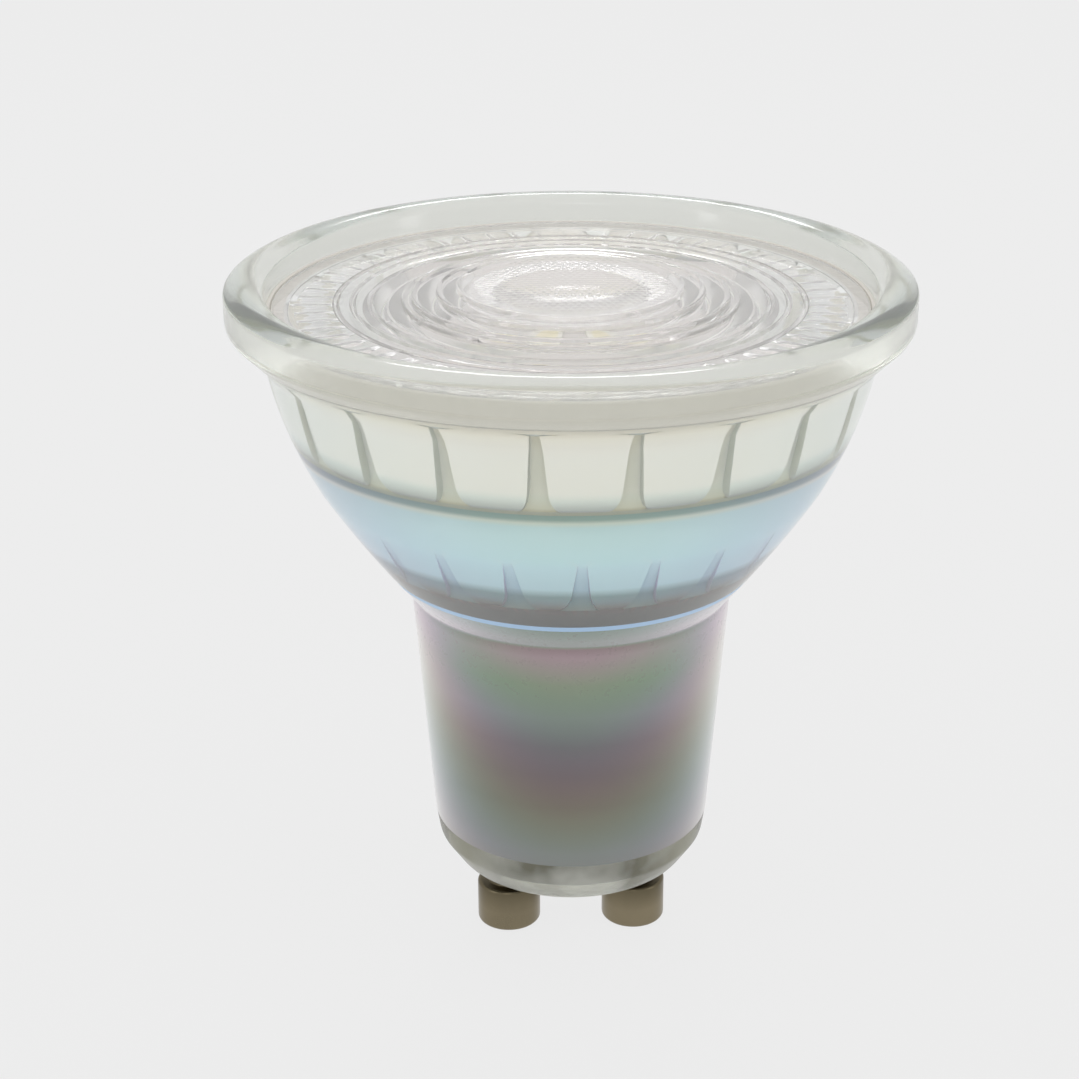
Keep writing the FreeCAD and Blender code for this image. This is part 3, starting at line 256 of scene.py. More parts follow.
class Finish:
    """A material, with short ways to add its nodes."""

    def __init__(self, name):
        self.material = bpy.data.materials.new(name)
        self.material.use_nodes = True
        self.nodes = self.material.node_tree.nodes
        self.links = self.material.node_tree.links
        self.shader = self.nodes["Principled BSDF"]
        self.output = self.nodes["Material Output"]
        self.place = self.nodes.new("ShaderNodeTexCoord").outputs["Object"]

    def set(self, **values):
        for key, value in values.items():
            socket = self.shader.inputs[key.replace("_", " ")]
            if isinstance(value, bpy.types.NodeSocket):
                self.links.new(value, socket)
            else:
                socket.default_value = value
        return self

    def add(self, kind, out=0, settings=None, **values):
        """Adds a node and sets or links its inputs, by name or, as i0 or i1, by number."""
        node = self.nodes.new(kind)
        for key, value in (settings or {}).items():
            setattr(node, key, value)
        for key, value in values.items():
            numbered = key[0] == "i" and key[1:].isdigit()
            socket = node.inputs[int(key[1:]) if numbered else key.replace("_", " ")]
            if isinstance(value, bpy.types.NodeSocket):
                self.links.new(value, socket)
            else:
                socket.default_value = value
        return node.outputs[out]

    def height(self, low, high):
        """0 to 1 from one height to another, in millimetres."""
        z = self.add("ShaderNodeSeparateXYZ", out=2, Vector=self.place)
        return self.add(
            "ShaderNodeMapRange", Value=z, From_Min=low * MM, From_Max=high * MM
        )

    def noise(self, scale, detail=2.0, roughness=0.5):
        return self.add(
            "ShaderNodeTexNoise",
            Vector=self.place,
            Scale=scale,
            Detail=detail,
            Roughness=roughness,
        )

    def range(self, value, low, high):
        return self.add("ShaderNodeMapRange", Value=value, To_Min=low, To_Max=high)

    def ramp(self, value, *stops):
        node = self.nodes.new("ShaderNodeValToRGB")
        elements = node.color_ramp.elements
        while len(elements) < len(stops):
            elements.new(0.5)
        for element, (position, colour) in zip(elements, stops):
            element.position = position
            element.color = (*colour, 1)
        self.links.new(value, node.inputs["Fac"])
        return node.outputs["Color"]

    def mix(self, share, a, b):
        node = self.nodes.new("ShaderNodeMix")
        node.data_type = "RGBA"
        sockets = (node.inputs["Factor"], node.inputs[6], node.inputs[7])
        for socket, value in zip(sockets, (share, a, b)):
            if isinstance(value, bpy.types.NodeSocket):
                self.links.new(value, socket)
            else:
                socket.default_value = value if isinstance(value, float) else (*value, 1)
        return node.outputs[2]

    def scaled(self, colour, by):
        """A colour made lighter or darker by a number."""
        return self.add(
            "ShaderNodeVectorMath", settings={"operation": "SCALE"}, Vector=colour, Scale=by
        )

    def bump(self, height, strength, distance):
        normal = self.add(
            "ShaderNodeBump", Height=height, Strength=strength, Distance=distance * MM
        )
        self.links.new(normal, self.shader.inputs["Normal"])
        return self

    def lets_light_in(self):
        """Light falls through the glass onto what it holds, so that its inside isn't dark."""
        path = self.nodes.new("ShaderNodeLightPath")
        either = self.add(
            "ShaderNodeMath",
            settings={"operation": "MAXIMUM"},
            i0=path.outputs["Is Shadow Ray"],
            i1=path.outputs["Is Diffuse Ray"],
        )
        clear = self.add("ShaderNodeBsdfTransparent", Color=(0.98, 0.985, 0.97, 1))
        both = self.nodes.new("ShaderNodeMixShader")
        self.links.new(either, both.inputs[0])
        self.links.new(self.shader.outputs[0], both.inputs[1])
        self.links.new(clear, both.inputs[2])
        self.links.new(both.outputs[0], self.output.inputs["Surface"])
        return self


def srgb(r, g, b):
    """A colour as it is seen, as the shader's linear values."""
    def linear(c):
        c /= 255.0
        return c / 12.92 if c <= 0.04045 else ((c + 0.055) / 1.055) ** 2.4
    return (linear(r), linear(g), linear(b))


def pressed_glass():
    """Faintly green clear glass with the soft ripples of a pressing, a little duller at the rim."""
    glass = Finish("clear_pressed_glass")
    up = glass.height(48.4, 49.4)
    glass.set(
        Base_Color=glass.mix(up, srgb(246, 247, 245), srgb(233, 234, 231)),
        Transmission_Weight=0.9,
        IOR=1.5,
        Roughness=glass.range(up, 0.1, 0.14),
    ).bump(glass.noise(90, detail=2.0), 0.1, 0.3)
    volume = glass.add("ShaderNodeVolumeAbsorption", Color=(*srgb(223, 226, 206), 1), Density=34.0)
    glass.links.new(volume, glass.output.inputs["Volume"])
    return glass.lets_light_in().material


def base_glass():
    """Frosted glass of the base, with random dark blotches painted in place of refractions, and painted
    shade beside the pins.
    """
    glass = Finish("frosted_base_glass")
    # Random dark olive blotches, painted in place of refracted dark surroundings
    refraction_blotch = glass.range(glass.noise(190, detail=3.0), -1.5, 2.5)
    across = glass.add("ShaderNodeSeparateXYZ", Vector=glass.place)
    aside = glass.add("ShaderNodeMath", settings={"operation": "ABSOLUTE"}, i0=across)
    # Painted shade of the pins: darker glass to either side of them
    painted_pin_shade = glass.add(
        "ShaderNodeMapRange", Value=aside, From_Min=3.0 * MM, From_Max=8.5 * MM
    )
    blotched_colour = glass.mix(refraction_blotch, srgb(100, 98, 74), srgb(226, 227, 212))
    glass.set(
        Base_Color=glass.mix(painted_pin_shade, blotched_colour, srgb(112, 110, 86)),
        Transmission_Weight=0.9,
        IOR=1.5,
        Roughness=0.26,
    ).bump(glass.noise(260, detail=3.0), 0.5, 0.2)
    return glass.lets_light_in().material


def lens_plastic():
    """Clear moulded plastic with a faintly uneven face."""
    lens = Finish("clear_lens")
    lens.set(
        Base_Color=(0.89, 0.875, 0.88, 1),
        Transmission_Weight=0.86,
        IOR=1.45,
        Roughness=lens.range(lens.noise(2500), 0.03, 0.08),
    ).bump(lens.noise(700, detail=1.0), 0.1, 0.05)
    return lens.lets_light_in().material


def pearl_lining(name, film, low, high, faces, painted_wall_shades):
    """Lining behind the glass under a thin clear film, whose colour goes by height, with painted shade on
    the rib walls.
    """
    lining = Finish(name)
    height = lining.height(low, high)
    colour = lining.ramp(height, *faces)
    painted_shade = lining.ramp(height, *painted_wall_shades)
    on_wall = lining.add("ShaderNodeAttribute", out=2, settings={"attribute_name": "rib_wall_shade"})
    cloud = lining.noise(220, detail=3.0)
    face = lining.mix(on_wall, colour, painted_shade)
    lining.set(
        Base_Color=lining.scaled(face, lining.range(cloud, 0.97, 1.03)),
        IOR=2.4,
        Roughness=lining.range(cloud, 0.3, 0.4),
        Thin_Film_Thickness=film,
        Thin_Film_IOR=1.5,
    )
    return lining.material


def upper_lining():
    """Cream in the flutes, grey at their feet, with a dark line of painted shadow at the shelf below."""
    return pearl_lining(
        "upper_lining", 205.0, 43, 50,
        [
            # Dark line at the shelf: painted shadow
            (0.0, srgb(136, 135, 126)),
            (0.05, srgb(150, 150, 142)),
            (0.08, srgb(186, 190, 186)),
            (0.19, srgb(206, 214, 217)),
            (0.26, srgb(219, 222, 227)),
            (0.8, srgb(222, 224, 231)),
            (1.0, srgb(238, 238, 241)),
        ],
        # Painted shade on the rib walls
        [
            (0.0, srgb(176, 176, 168)),
            (0.26, srgb(191, 192, 185)),
            (1.0, srgb(207, 208, 202)),
        ],
    )


def lower_lining():
    """Pale blue below the flutes, with a cream line above it, a dark line of painted shadow at the shelf
    over that, and brown grey under it.
    """
    return pearl_lining(
        "lower_lining", 340.0, 32, 43,
        [
            (0.0, srgb(144, 140, 132)),
            (0.2, srgb(126, 122, 116)),
            (0.33, srgb(114, 111, 116)),
            (0.40, srgb(178, 191, 208)),
            (0.62, srgb(190, 208, 223)),
            (0.90, srgb(199, 213, 222)),
            (0.93, srgb(220, 213, 203)),
            # Dark line at the shelf: painted shadow
            (0.955, srgb(146, 146, 138)),
            (1.0, srgb(136, 135, 126)),
        ],
        # Painted shade on the rib walls
        [
            (0.0, srgb(120, 117, 118)),
            (0.40, srgb(162, 170, 190)),
            (0.62, srgb(198, 208, 220)),
            (1.0, srgb(196, 196, 194)),
        ],
    )


def neck_coat():
    """Frosted coat of the neck under a clear film, thicker upwards, that shows soft bands of colour, near
    black at its top as painted shade under the bowl.
    """
    coat = Finish("frosted_neck_coat")
    height = coat.height(COAT_BOTTOM, COAT_TOP)
    cloud = coat.noise(160, detail=2.0)
    colour = coat.ramp(
        height,
        (0.0, srgb(110, 106, 97)),
        (0.05, srgb(108, 104, 100)),
        (0.25, srgb(78, 79, 73)),
        (0.38, srgb(72, 77, 69)),
        (0.5, srgb(84, 84, 78)),
        (0.62, srgb(107, 109, 106)),
        (0.75, srgb(110, 117, 102)),
        (0.86, srgb(134, 121, 124)),
        # Darker to near black at the top: painted shade under the bowl
        (0.93, srgb(88, 82, 74)),
        (1.0, srgb(30, 28, 18)),
    )
    grain = coat.noise(1400, detail=3.0, roughness=0.6)
    gloss = coat.ramp(
        height,
        (0.0, (0.55, 0.55, 0.55)),
        (0.4, (0.48, 0.48, 0.48)),
        (0.7, (0.28, 0.28, 0.28)),
    )
    frosted = coat.add(
        "ShaderNodeMath",
        settings={"operation": "MULTIPLY"},
        i0=gloss,
        i1=coat.range(grain, 0.88, 1.12),
    )
    coat.set(
        Base_Color=coat.scaled(colour, coat.range(cloud, 0.95, 1.04)),
        IOR=1.62,
        Roughness=frosted,
        Thin_Film_Thickness=coat.range(height, 385.0, 755.0),
        Thin_Film_IOR=1.35,
        Coat_Weight=0.6,
        Coat_IOR=1.5,
        Coat_Roughness=0.22,
        Sheen_Weight=1.0,
        Sheen_Roughness=0.5,
    ).bump(grain, 0.1, 0.02)
    return coat.material


def blue_edge():
    """The thin blue line where the neck's coat ends, painted light blue as the highlight on the fillet
    between bowl and neck.
    """
    edge = Finish("coat_edge_highlight")
    edge.set(
        # Light blue: painted highlight on the fillet
        Base_Color=(*srgb(166, 196, 226), 1),
        Metallic=0.4,
        Roughness=edge.range(edge.noise(900), 0.25, 0.4),
    )
    return edge.material


def plain(name, colour, roughness=0.5, metallic=0.0, scale=600, spread=0.05):
    """A finish with small changes of shade, gloss and grain."""
    made = Finish(name)
    cloud = made.noise(scale, detail=3.0)
    made.set(
        Base_Color=made.scaled(srgb(*colour), made.range(cloud, 1 - spread, 1 + spread)),
        Metallic=metallic,
        Roughness=made.range(cloud, roughness - 0.08, roughness + 0.08),
    )
    return made.bump(made.noise(scale * 3, detail=2.0), 0.1, 0.02)


def nickel():
    """Dull nickel, darker towards the base that shades it."""
    pin = plain("nickel_plating", (134, 124, 102), roughness=0.3, metallic=1.0, scale=240, spread=0.2)
    painted_shade = pin.add(
        "ShaderNodeVectorMath",
        settings={"operation": "MULTIPLY"},
        i0=pin.shader.inputs["Base Color"].links[0].from_socket,
        i1=pin.mix(pin.height(1.6, 4.0), (1.0, 1.0, 1.0), (0.45, 0.45, 0.42)),
    )
    pin.set(Base_Color=painted_shade)
    return pin.material


lens_finish = lens_plastic()
nickel_finish = nickel()


# Glass body

def flute_pattern(rib=4, floor=7):
    """Kind and place of the columns of points across half a pitch, from a rib's middle to a flute's."""
    half = [("rib", k / (rib - 1)) for k in range(rib)]
    half += [("wall", t) for t in (0.03, 0.5, 0.97)]
    half += [("floor", k / (floor - 1)) for k in range(floor)]
    return half


def flute_column(kind, t, rib_half, wall, half_pitch):
    """Distance from the rib's middle, depth from 0 on the rib to 1 in the flute, and how much painted shade
    it takes.
    """
    if kind == "rib":
        return rib_half * t, 0.0, RIB_SHADE
    if kind == "wall":
        return rib_half + wall * t, t, 1.0
    start = rib_half + wall
    return start + (half_pitch - start) * t, 1.0, 0.0


def glass_rows():
    """Rings of the glass body: (crest radius, height, root radius, rib half width, turned, zone)."""
    rows = []

    def plain_rows(points, zone):
        rows.extend((r, z, r, None, False, zone) for r, z in points)

    base = line_with_rounds(
        [
            (FLOOR_RADIUS, BASE_FACE, 0),
            (8.9, BASE_FACE, 1.2),
            (10.4, 9.0, 1.2),
            (COAT_BOTTOM_RADIUS, COAT_BOTTOM, 0),
        ]
    )
    plain_rows(base, BASE)
    slope = (NECK_TOP_RADIUS - NECK_FOOT_RADIUS) / (NECK_TOP - BEVEL_TOP)
    heights = [COAT_BOTTOM + k * 2.2 for k in range(1, 9)]
    neck = [(NECK_FOOT_RADIUS + (z - BEVEL_TOP) * slope, z) for z in heights]
    neck_top = line_with_rounds(
        [(NECK_FOOT_RADIUS, BEVEL_TOP, 0), (NECK_TOP_RADIUS, NECK_TOP, 0.7), (*WAIST, 0)]
    )[1:-1]
    bowl = bowed((NECK_TOP_RADIUS, NECK_TOP), WAIST, 0.2, 24)
    coat_part = [p for p in bowl if NECK_TOP + 0.7 < p[1] < COAT_TOP - 0.1]
    plain_rows([(COAT_BOTTOM_RADIUS, COAT_BOTTOM)] + neck + neck_top + coat_part, COAT)
    edge_low = radius_at(bowl, COAT_TOP)
    edge_high = radius_at(bowl, BLUE_TOP)
    plain_rows([(edge_low, COAT_TOP)], COAT)
    plain_rows([(edge_low, COAT_TOP), (edge_high, BLUE_TOP)], BLUE)
    upper = bowed(WAIST, BOWL_TOP, 0.42, 14)
    plain_rows([(edge_high, BLUE_TOP)] + [p for p in bowl if p[1] > BLUE_TOP + 0.1] + upper[:-1], CLEAR)
    rim = line_with_rounds(
        [(*BOWL_TOP, 0), (RIM_RADIUS, 51.2, 0.7), (RIM_RADIUS, RIM_TOP, 0.4), (24.3, 53.95, 0)],
        steps=6,
    )
    plain_rows(rim[:-1], CLEAR)
    for k in range(11):
        t = k / 10
        crown = RIM_TOP + 0.63 * math.sin(math.pi * (0.12 + 0.76 * t))
        plain_rows([(24.7 - 2.3 * t, crown)], CLEAR)
    plain_rows([(22.28, 53.46), (22.19, 53.38), (22.14, 53.25), (21.95, LENS_SEAT)], CLEAR)
    plain_rows([(SEAT_EDGE_RADIUS, LENS_SEAT)], SEAT)
    plain_rows([(SEAT_EDGE_RADIUS, 50.6), (SEAT_EDGE_RADIUS, 50.3)], UPPER)
    top, root, crest = ((SEAT_EDGE_RADIUS, UPPER_FLUTE_TOP), 19.015, 17.615)
    rows.extend(fluted_rows(top, 0.8, root, crest, UPPER_FLUTE_FOOT, 1.6, False, UPPER))
    plain_rows([(crest, UPPER_FLUTE_FOOT), (17.4, BOARD_SEAT), (16.265, BOARD_SEAT)], UPPER)
    plain_rows([(16.265, BOARD_SEAT), (16.0, 42.0), (15.7, 40.6), (15.4, 39.2)], LOWER)
    top, root, crest = ((15.305, LOWER_FLUTE_TOP), 13.478, 12.578)
    rows.extend(fluted_rows(top, 0.0, root, crest, LOWER_FLUTE_FOOT, 1.7, True, LOWER))
    plain_rows([(crest, LOWER_FLUTE_FOOT), (11.6, 33.6), (10.6, 32.9), NECK_MOUTH], LOWER)
    plain_rows([NECK_MOUTH, (9.45, 29.0), (9.0, 22.0), (8.6, 16.0), (8.25, 11.4)], INSIDE)
    plain_rows([(8.25, 11.4), (8.2, 11.1), (8.1, 10.8), (7.9, 10.58), (FLOOR_RADIUS, FLOOR)], BASE)
    return rows


def radius_at(line, height):
    """The radius of a rising line of points at a height."""
    for (r0, z0), (r1, z1) in zip(line, line[1:]):
        if z0 <= height <= z1:
            return r0 + (r1 - r0) * (height - z0) / (z1 - z0)
    return line[0][0]


def fluted_rows(top, top_depth, root, crest, bottom, foot, turned_half, zone):
    """Rings down a flute to its rounded foot, with ribs that stand out more lower down."""
    rows = []

    def ring(z, pull, widen):
        t = (top[1] - z) / (top[1] - bottom)
        crest_radius = top[0] - top_depth + (crest - top[0] + top_depth) * t
        root_radius = top[0] + (root - top[0]) * t - pull
        rib_half = RIB_HALF_AT_TOP + (RIB_HALF_AT_FOOT - RIB_HALF_AT_TOP) * t
        rows.append((crest_radius, z, root_radius, rib_half + widen, turned_half, zone))

    straight = 9
    for k in range(straight):
        ring(top[1] + (bottom + foot - top[1]) * k / straight, 0.0, 0.0)
    for k in range(9):
        angle = math.pi / 2 * k / 8
        sunk = 1 - math.cos(angle)
        pull = FOOT_REACH * (root - crest) * sunk
        ring(bottom + foot * (1 - math.sin(angle)), pull, foot * 0.4 * sunk)
    return rows


def glass_sector():
    """One pitch of the glass body, as rings of points joined by faces, and each face's zone."""
    pattern = flute_pattern()
    half_pitch_angle = math.radians(PITCH / 2)
    points, painted_wall_shades, faces, zones = [], [], [], []
    rows = glass_rows()
    count = 2 * len(pattern) - 1
    for crest, z, root, rib_half, turned_half, zone in rows:
        half = []
        for i, (kind, t) in enumerate(pattern):
            if rib_half is None:
                half.append((half_pitch_angle * i / (len(pattern) - 1), 0.0, 0.0))
                continue
            along, depth, wall = flute_column(kind, t, rib_half, WALL_WIDTH, crest * half_pitch_angle)
            half.append((along / crest, depth, wall))
        whole = half + [(2 * half_pitch_angle - a, d, w) for a, d, w in reversed(half[:-1])]
        if turned_half:
            middle = len(half) - 1
            whole = [(a - half_pitch_angle, d, w) for a, d, w in whole[middle:]] + [
                (a + half_pitch_angle, d, w) for a, d, w in whole[1 : middle + 1]
            ]
        for angle, depth, wall in whole:
            r = crest + (root - crest) * depth
            heading = angle - half_pitch_angle
            points.append((r * math.cos(heading), r * math.sin(heading), z))
            painted_wall_shades.append(wall)
    for i in range(len(rows) - 1):
        if rows[i][5] != rows[i + 1][5] and rows[i][:2] == rows[i + 1][:2]:
            continue
        for k in range(count - 1):
            a = i * count + k
            faces.append((a, a + 1, a + count + 1, a + count))
            zones.append(rows[i + 1][5])
    sector = mesh_object("glass_sector", points, faces)
    wall_layer = sector.data.attributes.new("rib_wall_shade", "FLOAT", "POINT")
    wall_layer.data.foreach_set("value", painted_wall_shades)
    zone_layer = sector.data.attributes.new("zone", "INT", "FACE")
    zone_layer.data.foreach_set("value", zones)
    return sector


def round_array(finishes):
    """Tree that repeats one pitch of the glass about the axis, joins it and gives each zone its finish."""
    tree = Tree("fluted_glass", Flute_count=FLUTES, Join_distance=2e-6, **finishes)
    count = tree.size("Flute_count")
    spots = tree.add("GeometryNodeMeshLine", count, None, (0.0, 0.0, 0.0), mode="OFFSET")
    index = tree.add("GeometryNodeInputIndex")
    step = tree.math("DIVIDE", 2 * math.pi, count)
    turn = tree.add("ShaderNodeCombineXYZ", None, None, tree.math("MULTIPLY", index, step))
    sectors = tree.add("GeometryNodeInstanceOnPoints", spots, None, tree.inputs.outputs[0], None, None, turn)
    whole = tree.add("GeometryNodeRealizeInstances", sectors)
    whole = tree.add("GeometryNodeMergeByDistance", whole, None, tree.size("Join_distance"))
    zone = tree.add("GeometryNodeInputNamedAttribute", "zone", data_type="INT")
    for number, label in enumerate(finishes):
        chosen = tree.add(
            "FunctionNodeCompare", zone, number, data_type="INT", operation="EQUAL"
        )
        whole = tree.add("GeometryNodeSetMaterial", whole, chosen, tree.size(label))
    tree.finish(whole)
    return tree


def fill_floor(body):
    """Closes the glass floor round the two pin holes, and lines the holes."""
    bm = bmesh.new()
    bm.from_mesh(body.data)
    bmesh.ops.remove_doubles(bm, verts=bm.verts, dist=2e-6)
    rings = {}
    for height in (BASE_FACE, FLOOR):
        edges = [
            e
            for e in bm.edges
            if e.is_boundary and all(abs(v.co.z - height * MM) < 1e-6 for v in e.verts)
        ]
        for side in (-1, 1):
            ring = [
                bm.verts.new(
                    (
                        (side * PIN_SPACING / 2 + PIN_HOLE * math.cos(a)) * MM,
                        PIN_HOLE * math.sin(a) * MM,
                        height * MM,
                    )
                )
                for a in (2 * math.pi * k / 48 for k in range(48))
            ]
            edges += [bm.edges.new((ring[k - 1], ring[k])) for k in range(48)]
            rings[height, side] = ring
        bmesh.ops.triangle_fill(bm, use_beauty=True, use_dissolve=False, edges=edges)
    for side in (-1, 1):
        low, high = rings[BASE_FACE, side], rings[FLOOR, side]
        for k in range(48):
            bm.faces.new((low[k - 1], low[k], high[k], high[k - 1]))
    bm.to_mesh(body.data)
    bm.free()


glass = round_array(
    {
        "Base_glass": base_glass(),
        "Neck_coat": neck_coat(),
        "Coat_edge_highlight": blue_edge(),
        "Clear_glass": pressed_glass(),
        # Glue on the lens seat, its grey also painted shade under the lens's flange
        "Lens_seat": plain("lens_glue_and_shade", (200, 196, 191), roughness=0.5).material,
        "Upper_lining": upper_lining(),
        "Lower_lining": lower_lining(),
        "Neck_inside": plain("neck_inside", (150, 148, 140), roughness=0.6).material,
    }
).grow("pressed_glass", glass_sector())
fill_floor(glass)
cleaned(glass, 40)


# Lens

def lens_line():
    """The lens's line from the tip of its button round its edge to the top of its dome."""
    line = []
    for k in range(15):
        angle = math.pi / 2 * k / 14
        line.append((5.6 * math.sin(angle), LENS_BACK - 1.5 * math.cos(angle)))
    for k in range(TEETH):
        tip = 7.9 + 1.9 * k
        line += line_with_rounds(
            [
                (tip - 0.2, LENS_BACK, 0),
                (tip, LENS_BACK - TOOTH_DEPTH, 0.06),
                (tip + 0.2, LENS_BACK - TOOTH_DEPTH, 0.06),
                (tip + 1.5, LENS_BACK, 0),
            ],
            steps=3,
        )
    line += [(15.6, LENS_BACK), (16.4, LENS_BACK), (17.3, LENS_BACK), (17.5, LENS_BACK)]
    line += [(17.5 + 0.24 * k, LENS_BACK) for k in range(1, 11)]
    line += line_with_rounds(
        [
            (19.95, LENS_BACK, 0),
            (20.45, LENS_BACK, 0.12),
            (20.45, LENS_SEAT, 0),
            (LENS_RADIUS, LENS_SEAT, 0.15),
            (LENS_RADIUS, LENS_FACE, 0.3),
            (17.15, LENS_FACE, 0),
        ]
    )
    for r in (17.0, 15.8, 14.5):
        line += line_with_rounds(
            [(r + 0.25, LENS_FACE, 0), (r, LENS_FACE - 0.2, 0.1), (r - 0.25, LENS_FACE, 0)], steps=3
        )
    height = LENS_FACE
    line.append((12.3, height))
    for outer, inner in ((12.3, 11.6), (11.6, 9.8), (9.8, 8.3), (8.3, DOME_RADIUS)):
        height += LENS_STEP
        line += line_with_rounds(
            [
                (outer, height - LENS_STEP, 0),
                (outer - 0.08, height + 0.05, 0.14),
                (outer - 0.45, height - 0.06, 0.3),
                (inner, height, 0),
            ],
            steps=6,
        )[1:]
    for k in range(1, 49):
        r = DOME_RADIUS * (1 - k / 48)
        line.append((r, height + 0.2 * (1 - (r / DOME_RADIUS) ** 2)))
    return line


def lens_optics():
    """Tree that presses the edge grooves into the lens's back and raises the small lenses of its dome."""
    tree = Tree(
        "lens_optics",
        Groove_count=60,
        Groove_depth=0.09 * MM,
        Groove_inner_radius=17.4 * MM,
        Groove_outer_radius=19.95 * MM,
        Lenslet_pitch=0.6 * MM,
        Lenslet_height=0.045 * MM,
        Field_radius=7.0 * MM,
        Lens=lens_finish,
    )
    position = tree.add("GeometryNodeInputPosition")
    x, y, z = (tree.add("ShaderNodeSeparateXYZ", position, out=k) for k in range(3))
    flat = tree.add("ShaderNodeCombineXYZ", x, y, 0.0)
    radius = tree.vector("LENGTH", flat)
    heading = tree.math("ARCTAN2", y, x)
    wave = tree.math("COSINE", tree.math("MULTIPLY", heading, tree.size("Groove_count")))
    ridge = tree.math("MAXIMUM", wave, 0.0)
    outside = tree.math("LESS_THAN", radius, tree.size("Groove_outer_radius"))
    inside = tree.math("GREATER_THAN", radius, tree.size("Groove_inner_radius"))
    behind = tree.math("LESS_THAN", z, (LENS_BACK + 0.1) * MM)
    share = tree.math("MULTIPLY", tree.math("MULTIPLY", outside, inside), behind)
    groove = tree.math("MULTIPLY", tree.math("MULTIPLY", ridge, share), tree.size("Groove_depth"))
    pitch = tree.size("Lenslet_pitch")
    half_x = tree.math("MULTIPLY", pitch, 0.5)
    half_y = tree.math("MULTIPLY", pitch, math.sqrt(3) / 2)
    cell = tree.add("ShaderNodeCombineXYZ", half_x, half_y, 1.0)
    low = tree.vector("SCALE", cell, -1.0)
    first = tree.vector("LENGTH", tree.vector("WRAP", flat, cell, low))
    shifted = tree.vector("ADD", flat, cell)
    moved = tree.vector("MULTIPLY", shifted, (1.0, 1.0, 0.0))
    second = tree.vector("LENGTH", tree.vector("WRAP", moved, cell, low))
    nearest = tree.math("DIVIDE", tree.math("MINIMUM", first, second), half_x)
    fall = tree.math("SUBTRACT", 1.0, tree.math("POWER", nearest, 2.0))
    swell = tree.math("MULTIPLY", fall, tree.size("Lenslet_height"))
    in_field = tree.math("LESS_THAN", radius, tree.size("Field_radius"))
    on_top = tree.math("GREATER_THAN", z, (LENS_FACE + 0.5) * MM)
    dome = tree.math("MULTIPLY", tree.math("MULTIPLY", swell, in_field), on_top)
    raise_by = tree.add("ShaderNodeCombineXYZ", None, None, tree.math("ADD", groove, dome))
    shaped = tree.add("GeometryNodeSetPosition", tree.inputs.outputs[0], None, None, raise_by)
    whole = tree.add("GeometryNodeRealizeInstances", shaped)
    whole = tree.add("GeometryNodeSetMaterial", whole, None, tree.size("Lens"))
    tree.finish(whole)
    return tree


lens = lens_optics().grow("lens", turned("lens_blank", lens_line(), 480))
cleaned(lens, 30)

seal = turned(
    "seal",
    line_with_rounds(
        [
            (21.72, LENS_SEAT, 0),
            (21.93, LENS_SEAT, 0),
            (22.03, SEAL_TOP, 0.1),
            (21.72, SEAL_TOP, 0.1),
            (21.72, LENS_SEAT, 0),
        ]
    ),
    240,
)
seal.data.materials.append(plain("clear_seal", (196, 191, 184), roughness=0.35).material)
cleaned(seal)


# Contact pins

def contact_pin(name, side):
    """A pin with its head below, its neck through the glass and its collar on the floor."""
    line = line_with_rounds(
        [
            (0, 0, 0),
            (PIN_HEAD_RADIUS, 0, 0.35),
            (PIN_HEAD_RADIUS, PIN_HEAD_HEIGHT, 0.25),
            (PIN_NECK_RADIUS, PIN_HEAD_HEIGHT, 0.15),
            (PIN_NECK_RADIUS, FLOOR, 0),
            (PIN_COLLAR_RADIUS, FLOOR, 0.1),
            (PIN_COLLAR_RADIUS, FLOOR + PIN_COLLAR_HEIGHT, 0.15),
            (0, FLOOR + PIN_COLLAR_HEIGHT, 0),
        ]
    )
    pin = turned(name, line, 96)
    pin.data.transform(Matrix.Translation((side * PIN_SPACING / 2 * MM, 0, 0)))
    pin.data.materials.append(nickel_finish)
    return cleaned(pin)


pins = [contact_pin("pin_left", -1), contact_pin("pin_right", 1)]


# Pieces that keep their own meshes

